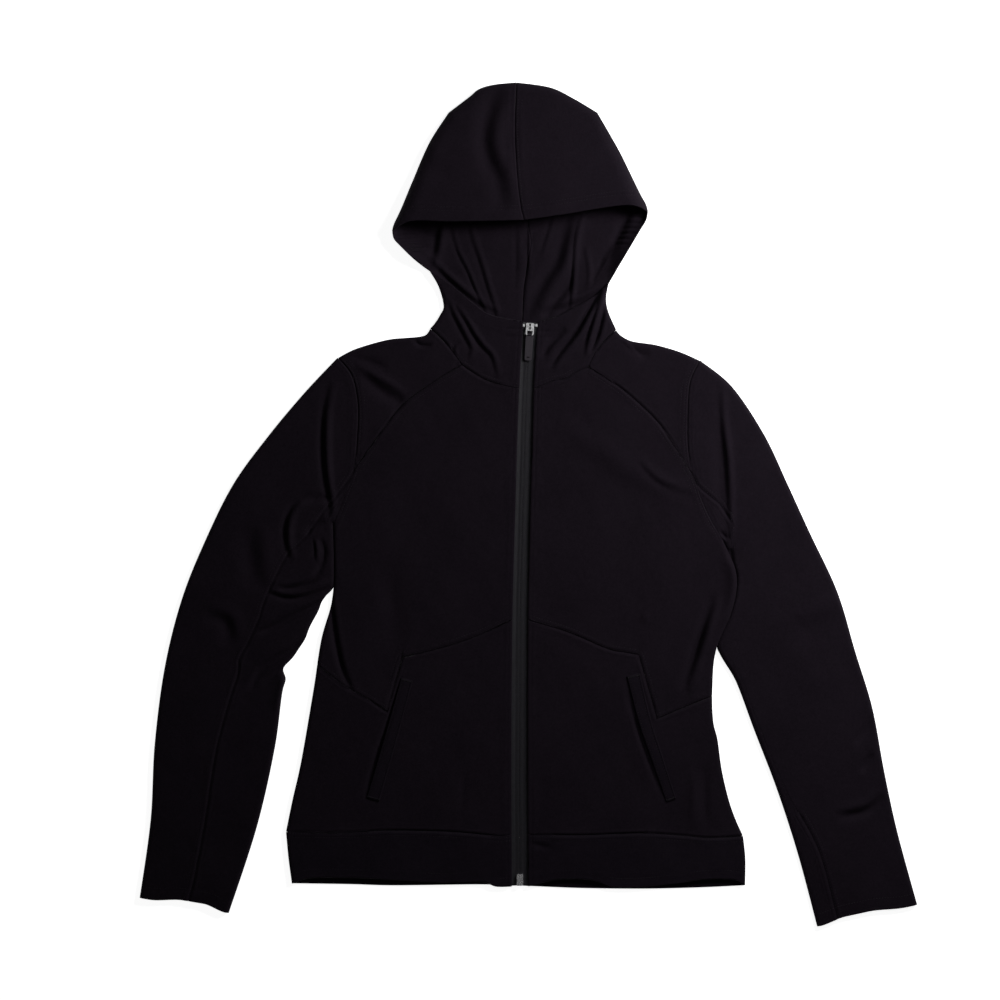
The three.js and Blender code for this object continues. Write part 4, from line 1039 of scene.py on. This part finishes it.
# Line, rows of topstitching, width of the turnings, and depth of the dip.
SEAMS = []
for side, on in PLAN.items():
    SEAMS += [
        (on["yoke"], *PANEL_SEAM, 1.0),
        (on["armhole"], *ARM_SEAM, 1.0),
        (on["neck_seam"], *NECK_SEAM, 1.2),
        (on["neck_front"], *NECK_SEAM, 1.2),
        (on["waist"], *PANEL_SEAM, 0.9),
        (on["hem"], *PANEL_SEAM, 1.0),
        (on["band_foot"], (), 1, 0.6),
        (on["zip_edge"](NECK_Y, BAND_Y), *ZIP_SEAM, 0.5),
        (beside_hem(side), (0.0,), 0.5, 0.1),
    ]
    SEAMS += [(sleeve_seam(side, *shows), *PANEL_SEAM, 0.8) for shows in SEAM_SHOWS[side]]
print("seams and hems with relief:", len(SEAMS))

# %% Yokes, fronts and bands
ALLOWED = (1.15, 1.25)  # what a pattern piece has over its panel's width and length


def flat_panel(edges, size, front=True, step=STEP):
    """A patch between four seams, with its heights, ready for cloth()."""
    u, v = grid(crowded(size[0], step), crowded(size[1], step))
    plan = pulled_in(coons(*edges, u, v))
    z = front_height(plan, seam_relief(plan, SEAMS)) if front else back_height(plan)
    return np.dstack([plan, z]), np.dstack([u * size[0], v * size[1]]), front


for side, on in PLAN.items():
    arm, low = arm_share[side], waist_share[side]
    # The upper front's outer edge is one path of three: yoke seam, armhole and side.
    outer = chain(
        (on["yoke"][::-1], 0.42),
        (piece(on["armhole_body"], arm, 1), 0.56),
        (piece(on["side"], 0, low), 1),
    )
    by_zip, armhole = on["zip_edge"], piece(on["armhole_body"], 0, arm)
    # Top, bottom, outer edge and inner edge of each panel, and its width and length.
    panels = {
        "yoke": ((on["shoulder"][::-1], on["yoke"], armhole, on["neck_seam"]), (140, 100)),
        "front_upper": ((on["neck_front"], on["waist"], outer, by_zip(NECK_Y, WAIST_Y)), (215, 280)),
        "front_lower": (
            (on["waist"], on["hem"], piece(on["side"], low, 1), by_zip(WAIST_Y, HEM_Y)), (250, 215),
        ),
        "band_front": (
            (on["hem"], on["band_foot"], on["band_side"], by_zip(HEM_Y, BAND_Y)), (248, 57),
        ),
    }
    for name, (edges, size) in panels.items():
        material, slot = (TRIM, "trim") if "band" in name else (KNIT, "knit")
        flat = (size[0] * ALLOWED[0] * MM, size[1] * ALLOWED[1] * MM)
        made = cloth(f"{name}_{side}_cloth", [flat_panel(edges, size)])
        finish_piece(made, material, slot, [f"{name}_{side}"], flat, area_of(made))

# %% Outline of the back
# The back's seams lie this far from the front's, so that the two never lie open over each other.
LAPPED = 2.2
right, left = PLAN["right"], PLAN["left"]


def back_side(side):
    """Armhole and side of the back, as the left or right edge of its patch. It laps outwards by a
    step that rises and falls within a few millimetres of the armhole's ends."""
    on, seam = PLAN[side], BACK_SEAM[side]
    path = chain(
        (piece(on["armhole_body"], 0, seam), 0.15),
        (piece(on["armhole_body"], seam, 1), 0.36),
        (on["side"], 1),
    )
    share = np.linspace(0, 1, len(path))
    path[:, 0] += on["away"] * LAPPED * smooth(0, 0.008, share) * (1 - smooth(0.345, 0.36, share))
    return path


back_top = chain(
    (right["shoulder"][::-1], 0.28), (right["back_neck"], 0.5),
    (left["back_neck"][::-1], 0.72), (left["shoulder"], 1),
)
back_hem = chain((right["hem"], 0.5), (left["hem"][::-1], 1))
share = np.linspace(0, 1, len(back_hem))
back_hem[:, 1] -= LAPPED * smooth(0, 0.006, share) * smooth(0, 0.006, 1 - share)
band_low = spline([
    MARKS["right"]["band_side"], (-196, -418.5), (-147, -419.8), (-53, -418.8), (0, -420.5),
    (60, -422.8), (130, -423.4), (190, -422), MARKS["left"]["band_side"],
])
print("back's hem:", round(distances(back_hem)[-1]), "mm from side to side")

# %% Back panel and back band
for name, edges, size, step, flat, material, slot in (
    ("back", (back_top, back_hem, back_side("right"), back_side("left")),
     (440, 550), 4.5, (0.50, 0.56), KNIT, "knit"),
    ("band_back", (back_hem, band_low, right["band_side"], left["band_side"]),
     (500, 58), 4.0, (0.51, 0.062), TRIM, "trim"),
):
    made = cloth(f"{name}_cloth", [flat_panel(edges, size, False, step)])
    finish_piece(made, material, slot, [name], flat, area_of(made))

# %% [markdown]
# ## Sleeves
#
# A sleeve of this garment is two pieces, an upper and an under one. The flat front and back of a
# piece could be two grids that are joined, but the join would show along the sleeve's edge. Here
# each piece is one grid that starts at the front seam, runs over one edge of the flat sleeve and
# ends at the back seam.

# %% Sleeve pieces
# Shares of the way from the fold to the back seam.
BEHIND = np.concatenate([[0.012, 0.03, 0.055, 0.09], np.linspace(0.14, 0.94, 9), [0.97, 1]])
SLEEVE_LONG, SLEEVE_STEP, SLEEVE_UV = 640, 2.7, 90
# Each piece: the edge it folds over (0 outer, 1 inner), its width in front, and its flat size.
SLEEVE_PIECES = {"sleeve_upper": (0, 105, (0.26, 0.66)), "sleeve_under": (1, 62, (0.17, 0.66))}


def sleeve_piece(side, edge, wide):
    """One sleeve piece. Across it, w runs from -1 at the front seam through 0 at the fold to 1 at
    the back seam; the share across the sleeve is edge + (seam - edge) * |w|."""
    sleeve = SLEEVE[side]
    front = crowded(wide)
    w, v = grid(np.concatenate([-front[::-1], BEHIND]), crowded(SLEEVE_LONG, SLEEVE_STEP))
    seam = np.where(w < 0, at(sleeve["seam"], v)[..., 0], BACK_SEAM[side])
    plan = sleeve["place"](v, edge + (seam - edge) * np.abs(w))
    plan = pulled_in(plan, ("top", "left", "right"))
    plan[..., 0] += PLAN[side]["away"] * LAPPED * smooth(0, 0.03, w) * (1 - smooth(0, 0.02, v))
    z = np.where(w <= 0, front_height(plan, seam_relief(plan, SEAMS)), back_height(plan))
    z[:, len(front) - 1] = RIM
    uv = np.dstack([w * SLEEVE_UV, v * SLEEVE_LONG])
    return np.dstack([plan, z]), uv, True, slice(0, len(front) // 2)


for side in PLAN:
    for name, (edge, wide, flat) in SLEEVE_PIECES.items():
        grids = [sleeve_piece(side, edge, wide)]
        made = cloth(f"{name}_{side}_cloth", grids, bevel=0.4, clamp=True)
        finish_piece(made, KNIT, "knit", [f"{name}_{side}"], flat, area_of(made))

# %% [markdown]
# ## Hood
#
# The hood is two halves with a seam over the middle, and its mouth stands open. A half could be
# draped by simulation from its cut, but it would hardly fall into this shape. So it is three
# patches in one piece: the crown over the face, the back of the hood on the table, and the collar.
# They share rows along the hood's outer edge, where they are welded, so the cloth runs round that
# edge unbroken.

# %% Seams of the hood
MOUTH_SEAMS = []
for side, on in PLAN.items():
    MOUTH_SEAMS += [(on["forehead_edge"], *MOUTH_HEM, 0.2), (on["collar_top"], (), 13.5, 0.1)]
    MOUTH_SEAMS += [(on["neck_seam"], *NECK_SEAM, 1.2), (on["neck_front"], *NECK_SEAM, 1.2)]
MOUTH_SEAMS += [(left["crown_seam"], *CROWN_SEAM, 1.2)]
LINING_SEAMS = [(PLAN[side]["mouth_edge"], *MOUTH_HEM, 0) for side in PLAN]
LINING_SEAMS += [(left["lining_seam"], (2.5,), 4, 0.6)]
print("seams of the hood:", len(MOUTH_SEAMS) + len(LINING_SEAMS))

# %% Rows of the hood's grids
HALF_WIDE, CROWN_LONG, HALF_LONG = 140, 155, 300
COLLAR_WIDE, COLLAR_TALL, COLLAR_STEP = 110, 75, 1.9
EDGE_ROWS = NEAR[:6][::-1]
half_us = np.concatenate([
    [0, 0.006, 0.018, 0.036, 0.06, 0.09, 0.125], np.linspace(0.15, 0.93, 50),
    1 - EDGE_ROWS / HALF_WIDE,
])
crown_vs = np.concatenate([
    [0, 0.005, 0.015, 0.03, 0.05, 0.075, 0.105], np.linspace(0.13, 0.86, 46),
    np.linspace(0.872, 0.985, 14), [0.994, 1],
])
mouth_vs = np.linspace(HOOD_CORNER, MOUTH_SIDE, 64)
collar_vs = np.concatenate([
    [0, 0.006], np.linspace(0.02, 0.2, 14), np.linspace(0.23, 0.93, 30), 1 - EDGE_ROWS / 80,
])
BELOW_MOUTH = 1 - MOUTH_SIDE
floor_vs = np.concatenate([
    crown_vs * HOOD_CORNER, mouth_vs[1:], MOUTH_SIDE + collar_vs[1:] * BELOW_MOUTH,
])
print("rows from crown to neck:", len(floor_vs), "and across a half:", len(half_us))

# %% Hood halves
def crown_plan(side, u, v):
    """Plan of the crown, as a patch between the crown's edge and the mouth's."""
    on = PLAN[side]
    outer = at(on["hood_side"], np.linspace(0, 1, 1001))
    return coons(on["crown"], on["forehead_edge"], outer, on["crown_seam"], u, v)


def crown_place(side, u, v):
    """The crown's plan and height. Its rim lies at the lift of the hood's outer edge."""
    plan = crown_plan(side, u, v)
    z = crown_height(plan, v) + seam_relief(plan, MOUTH_SEAMS) * smooth(0, 0.1, u)
    return plan, np.where((u == 0) | (v == 0), hood_edge(LIFT, v * HOOD_CORNER), z)


def hood_half(side):
    """The three grids of one half, which share their points along the outer edge."""
    on = PLAN[side]
    outer = chain((on["hood_side"], HOOD_CORNER), (on["mouth_edge"], MOUTH_SIDE), (on["neck_fold"], 1))

    u, v = grid(half_us, crown_vs)
    crown = np.dstack(crown_place(side, u, v))
    crown_uv = np.dstack([u * HALF_WIDE, v * CROWN_LONG])

    u, v = grid(half_us, floor_vs)
    plan = coons(on["crown"], on["back_neck"], outer, on["lining_seam"], u, v)
    relief = seam_relief(plan, LINING_SEAMS) * smooth(0.0, 0.03, u) * smooth(0.5, 0.53, v)
    z = np.where((u == 0) | (v == 0), hood_edge(LIFT, v), lining_height(plan, v) + relief)
    floor = np.dstack([plan, z])
    floor_uv = np.dstack([u * -HALF_WIDE, v * HALF_LONG])

    foot = chain((on["neck_seam"], 0.42), (on["neck_front"], 1))
    edge = at(outer, MOUTH_SIDE + BELOW_MOUTH * np.linspace(0, 1, MANY))
    by_zip = on["zip_edge"](MOUTH_Y, NECK_Y)
    u, v = grid(crowded(COLLAR_WIDE, COLLAR_STEP), collar_vs)
    plan = coons(on["collar_top"], foot, edge, by_zip, u, v)
    z = collar_height(plan, v) + seam_relief(plan, MOUTH_SEAMS + [(by_zip, *ZIP_SEAM, 0.4)])
    z = np.where(u == 0, hood_edge(LIFT, MOUTH_SIDE + BELOW_MOUTH * v), z)
    collar = np.dstack([plan, z])
    collar_uv = np.dstack([u * COLLAR_WIDE, HALF_LONG + v * COLLAR_TALL])
    return [(crown, crown_uv, True), (floor, floor_uv, False), (collar, collar_uv, True)]


for side in PLAN:
    made = cloth(f"hood_{side}_cloth", hood_half(side))
    finish_piece(made, KNIT, "knit", [f"hood_{side}"], (0.36, 0.40), area_of(made))

# %% [markdown]
# ## Pocket welts, zip tape and zip hardware
#
# A welt is a folded strip sewn over the opening of the slanted pocket. The zip is of the reversed
# kind: its teeth are inside, and two smooth halves of tape show with a thin slit between them. A
# strip could be a curve with a bevel, but as a grid along its middle line it takes its height
# straight from the cloth under it. The hard parts keep the shapes of the CAD model, and only get
# their metal here.

# %% Welts
# Middle line, half width at the top and at the foot.
WELTS = {
    "right": ([(-133.7, -192), (-150.4, -253), (-171, -324.5)], 6.5, 7.2),
    "left": ([(115.2, -187), (127.5, -237), (140, -275), (157, -325.5)], 7.4, 5.6),
}
WELT_HALF, WELT_LONG, WELT_THICK, WELT_RAISED = 6.5, 140, 1.3, 0.95


def strip(middle, halves, us, vs):
    """Plan of a strip along a curve: the middle line plus u times half its width across it."""
    u, v = grid(us, vs)
    slope = at(middle, v + 0.01) - at(middle, v - 0.01)
    across = np.stack([slope[..., 1], -slope[..., 0]], -1)
    across /= np.linalg.norm(across, axis=-1, keepdims=True)
    return at(middle, v) + across * (u * halves(v))[..., None], u, v


welt_lines, tack_lines = [], []
for side, (line, top, foot) in WELTS.items():
    halves = lambda v: top + (foot - top) * v
    plan, u, v = strip(spline(line), halves, np.linspace(-1, 1, 17), np.linspace(0, 1, 70))
    west = np.sign((plan[:, :1, 0] - plan[:, -1:, 0])) * u
    # The strip is crowned, pinched along its stitches, and higher along its free edge.
    soft = 0.3 * (1 - np.abs(u) ** 4) + pinch(np.abs(u) * WELT_HALF, 4.6, 0.2)
    soft += 0.7 * smooth(0.5, 1, -west)
    z = np.maximum(front_height(plan), FRONT - 0.2) + WELT_RAISED + soft
    grids = [(np.dstack([plan, z]), np.dstack([u * WELT_HALF, v * WELT_LONG]), True)]
    made = cloth(f"pocket_welt_{side}_cloth", grids, thick=WELT_THICK)
    finish_piece(made, TRIM, "trim", [f"pocket_welt_{side}"], (0.0145, 0.145), area_of(made))
    welt_lines += [np.column_stack([plan[:, i], z[:, i] + WELT_THICK / 2]) for i in (3, 13)]
    tack_lines += [np.column_stack([plan[end], z[end] + 0.7]) for end in (1, -2)]

# %% Zip tape
TAPE_DROP = 1.85  # how far the tape lies below the front's cloth
TAPE_SLIT, TAPE_WIDE, TAPE_LONG, TAPE_THICK = 0.05, 11.6, 620, 1.0


def tape_height(y):
    """Middle of the tape under the front's cloth, which rises in the collar."""
    return FRONT + (COLLAR - FRONT) * np.clip((y - NECK_Y) / (MOUTH_Y - NECK_Y), 0, 1) - TAPE_DROP


tape_us = np.array([0, 0.02, 0.06, 0.12, 0.2, 0.3, 0.42, 0.55, 0.7, 0.85, 1])
for side, on in PLAN.items():
    u, v = grid(tape_us, np.linspace(0, 1, 320))
    y = MOUTH_Y - 1 + (BAND_Y + 1 - MOUTH_Y + 1) * v
    x = zip_x(y) + on["away"] * (TAPE_SLIT + u * TAPE_WIDE)
    z = tape_height(y) + 0.5 * smooth(0.4, 0.68, u)
    grids = [(np.dstack([x, y, z]), np.dstack([u * TAPE_WIDE, v * TAPE_LONG]), True)]
    made = cloth(f"zip_tape_{side}_cloth", grids, thick=TAPE_THICK, bevel=0.12)
    finish_piece(made, TAPE, "tape", [f"zip_tape_{side}"], (0.0125, 0.625), area_of(made))

# %% Metal of the zip
METAL = {
    "zip_slider": SILVER, "pull_link": SILVER, "pull_grip": GUNMETAL, "zip_box": SILVER,
    "zip_stop_right": SILVER, "zip_stop_left": SILVER,
}
for name, material in METAL.items():
    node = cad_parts[name]
    node.data.materials.clear()
    node.data.materials.append(material)
    print(name, "is of", material.name)

# %% [markdown]
# ## Topstitching
#
# A stitch is a short thread that dips into the cloth at both ends. Stitches could be a pattern in
# the material, but they stand up from the cloth and catch the light, so here they are mesh. There
# are thousands, so they are one mesh: a small spindle, copied by array arithmetic to every place
# along the sewing lines, turned to the line and set into the surface.

# %% Spindles along lines
AROUND = 4  # corners of a thread's section
RINGS = np.array([-1, -0.55, 0.0, 0.55, 1])
GIRTH = np.array([0.12, 0.85, 1.0, 0.85, 0.12])
END_DIP = 0.2


def spindle(long, wide):
    """Points and quads of one stitch: five rings along it, as wide as their girth says, whose
    ends dip by 0.2 mm, and a lid at either end."""
    around = np.arange(AROUND) * 2 * np.pi / AROUND
    shape = np.stack([
        np.repeat(RINGS * long / 2, AROUND),
        (GIRTH[:, None] * np.cos(around)).ravel() * wide / 2,
        (GIRTH[:, None] * np.sin(around)).ravel() * wide / 2 - np.repeat(RINGS**2 * END_DIP, AROUND),
    ], -1)
    k = np.arange(AROUND)
    ring = np.stack([k, k + AROUND, (k + 1) % AROUND + AROUND, (k + 1) % AROUND], -1)
    last = len(RINGS) - 1
    rings = [ring + r * AROUND for r in range(last)]
    return shape, np.concatenate(rings + [k[None, ::-1], k[None] + last * AROUND])


def steps_along(line, pitch):
    """Places at even steps of a line's length, and the line's run at each."""
    far = distances(line)
    where = np.arange(pitch / 2, far[-1] - pitch / 2, pitch)
    spot, ahead = (
        np.stack([np.interp(where + more, far, column) for column in line.T], -1) for more in (0, 0.6)
    )
    return spot, ahead - spot


def spindles(name, lines, pitch=3.1, long=2.3, wide=0.44, crosswise=False):
    """A mesh with one spindle at each step of every line of points: its place plus the shape's x
    along the line, y across it and z up. Crosswise, it lies over the line, as in a bar tack."""
    shape, quads = spindle(long, wide)
    spots, runs = (np.vstack(part) for part in zip(*(steps_along(line, pitch) for line in lines)))
    runs /= np.linalg.norm(runs, axis=1, keepdims=True)
    across = np.cross([0, 0, 1.0], runs)
    across /= np.linalg.norm(across, axis=1, keepdims=True)
    up = np.cross(runs, across)
    if crosswise:
        runs, across = across, -runs
    parts = [shape[None, :, i:i + 1] * way[:, None] for i, way in enumerate((runs, across, up))]
    points = spots[:, None] + sum(parts)
    quads = (quads[None] + np.arange(len(spots))[:, None, None] * len(shape)).reshape(-1, 4)
    mesh = bpy.data.meshes.new(name)
    mesh.from_pydata((points.reshape(-1, 3) * MM).tolist(), [], quads.tolist())
    print(name, len(spots), "stitches")
    return add_object(name, mesh)

# %% Lines on the cloth
ON_TOP = CLOTH / 2 + 0.06  # from the middle of the cloth to the middle of a thread on it


def on_front(plan):
    """Points on top of the front layer's cloth, without those too near an edge that turns over."""
    plan = plan[nearest(plan, TURNED) > 2.2]
    return np.column_stack([plan, front_height(plan, seam_relief(plan, SEAMS)) + ON_TOP])


def on_collar(plan):
    """Points on top of the collar beside the zip, where v is the share from its top to the neck."""
    v = (MOUTH_Y - plan[:, 1]) / (MOUTH_Y - NECK_Y)
    return np.column_stack([plan, collar_height(plan, v) + ON_TOP])


def on_crown(side, path, distance, axis):
    """A row of points on the crown at a distance in plan from a seam: on a fine grid, along one
    axis, the point whose distance comes nearest."""
    u, v = grid(np.linspace(0.04, 0.995, 301), np.linspace(0.12, 0.99, 301))
    k = np.abs(nearest(crown_plan(side, u, v), [thin(path)]) - distance).argmin(axis)
    pick = (k, np.arange(301)) if axis == 0 else (np.arange(301), k)
    plan, z = crown_place(side, u[pick][None, ::6], v[pick][None, ::6])
    return np.column_stack([plan[0], z[0] + ON_TOP])

# %% The rows of topstitching
rows = []
for side, on in PLAN.items():
    hand = on["away"]
    for off in PANEL_SEAM[0]:
        for seam, way in (("yoke", 1), ("waist", -1), ("hem", 1)):
            rows.append(beside(on[seam], way * hand * off))
        rows += [beside(sleeve_seam(side, *shows), hand * off) for shows in SEAM_SHOWS[side]]
    rows += [beside(piece(on["armhole"], 0.02, 0.97), -hand * off) for off in ARM_SEAM[0]]
    for off in NECK_SEAM[0]:
        rows += [beside(on[seam], -hand * off) for seam in ("neck_front", "neck_seam")]
    rows += [beside(on["zip_edge"](NECK_Y - 2, BAND_Y + 2), -hand * off) for off in ZIP_SEAM[0]]
    cuff = SLEEVE[side]["place"](np.full(121, 1.0), np.linspace(0.03, 0.97, 121))
    rows += [beside(cuff, -hand * CUFF_HEM), beside_hem(side)]
rows = [on_front(line) for line in rows] + welt_lines
for side, on in PLAN.items():
    by_zip = on["zip_edge"](MOUTH_Y - 3, NECK_Y + 1)
    rows += [on_crown(side, on["forehead_edge"], off, 0) for off in MOUTH_HEM[0]]
    rows += [on_collar(beside(by_zip, -on["away"] * off)) for off in ZIP_SEAM[0]]
rows += [on_crown("left", left["crown_seam"], off, 1) for off in CROWN_SEAM[0]]
finish_piece(spindles("topstitching", rows), THREAD, "knit", None)
tacks = spindles("bar_tacks", tack_lines, pitch=0.6, long=2.4, wide=0.5, crosswise=True)
finish_piece(tacks, THREAD, "knit", None)

# %% How many triangles the cloth has
counts = {}
for item in DONE.values():
    shown = item.evaluated_get(bpy.context.evaluated_depsgraph_get())
    counts[item.name] = len(shown.to_mesh().loop_triangles)
    shown.to_mesh_clear()
print("triangles in all:", sum(counts.values()), "in the largest piece:", max(counts.values()))

# %% [markdown]
# ## Floor, light and camera
#
# The photograph looks straight down on a white ground. A parallel camera would serve, but a long
# lens at the right height gives the same picture, and other views keep their depth. One soft light
# stands low at the upper right, and rakes over the folds so that they show. A sun would do so too,
# with hard shadows. A weak and larger light straight above keeps the shaded sides from going black.

# %% Floor and room
FLOOR_HALF, FLOOR_Z = 60, -0.0002
corners = [(x * FLOOR_HALF, y * FLOOR_HALF, FLOOR_Z) for x, y in ((-1, -1), (1, -1), (1, 1), (-1, 1))]
floor_mesh = bpy.data.meshes.new("floor")
floor_mesh.from_pydata(corners, [], [(0, 1, 2, 3)])
floor = bpy.data.objects.new("floor", floor_mesh)
bpy.context.collection.objects.link(floor)
f = Finish("pale floor")
f.set(Base_Color=(0.92, 0.92, 0.92, 1), Roughness=0.9, Specular_IOR_Level=0.1)
f.set(Emission_Color=(1, 1, 1, 1), Emission_Strength=0.9)
floor_mesh.materials.append(f.material)

world = bpy.data.worlds.new("soft room")
bpy.context.scene.world = world
world.use_nodes = True
room = world.node_tree.nodes["Background"]
room.inputs[0].default_value = (1, 1, 1, 1)
room.inputs[1].default_value = 0.04
print("floor:", 2 * FLOOR_HALF, "m wide")

# %% Lights
def soft_light(name, place, size, watts, target):
    """A square area light that looks at a point."""
    data = bpy.data.lights.new(name, "AREA")
    data.size, data.energy = size, watts
    item = bpy.data.objects.new(name, data)
    item.location = place
    item.rotation_euler = (Vector(target) - Vector(place)).to_track_quat("-Z", "Y").to_euler()
    bpy.context.collection.objects.link(item)
    print(name, "light:", watts, "W,", size, "m wide")


soft_light("key", (0.8, 0.55, 0.58), 0.4, 15.6, target=(0, -0.05, 0))
soft_light("top", (0, 0.1, 3.2), 1.3, 2.5, target=(0, 0, 0))

# %% Camera
LENS, SENSOR = 85, 36
PHOTO_WIDE = 1000 * PIXEL * MM  # what the photograph shows, at the height of the front layer
centre = photo((500, 500))[0]
camera = bpy.data.cameras.new("camera")
camera.lens, camera.sensor_width = LENS, SENSOR
eye = bpy.data.objects.new("camera", camera)
eye.location = (centre[0] * MM, centre[1] * MM, FRONT * MM + PHOTO_WIDE * LENS / SENSOR)
bpy.context.collection.objects.link(eye)
bpy.context.scene.camera = eye
bpy.context.scene.view_settings.view_transform = "Standard"
print("camera at", [round(part, 5) for part in eye.location])
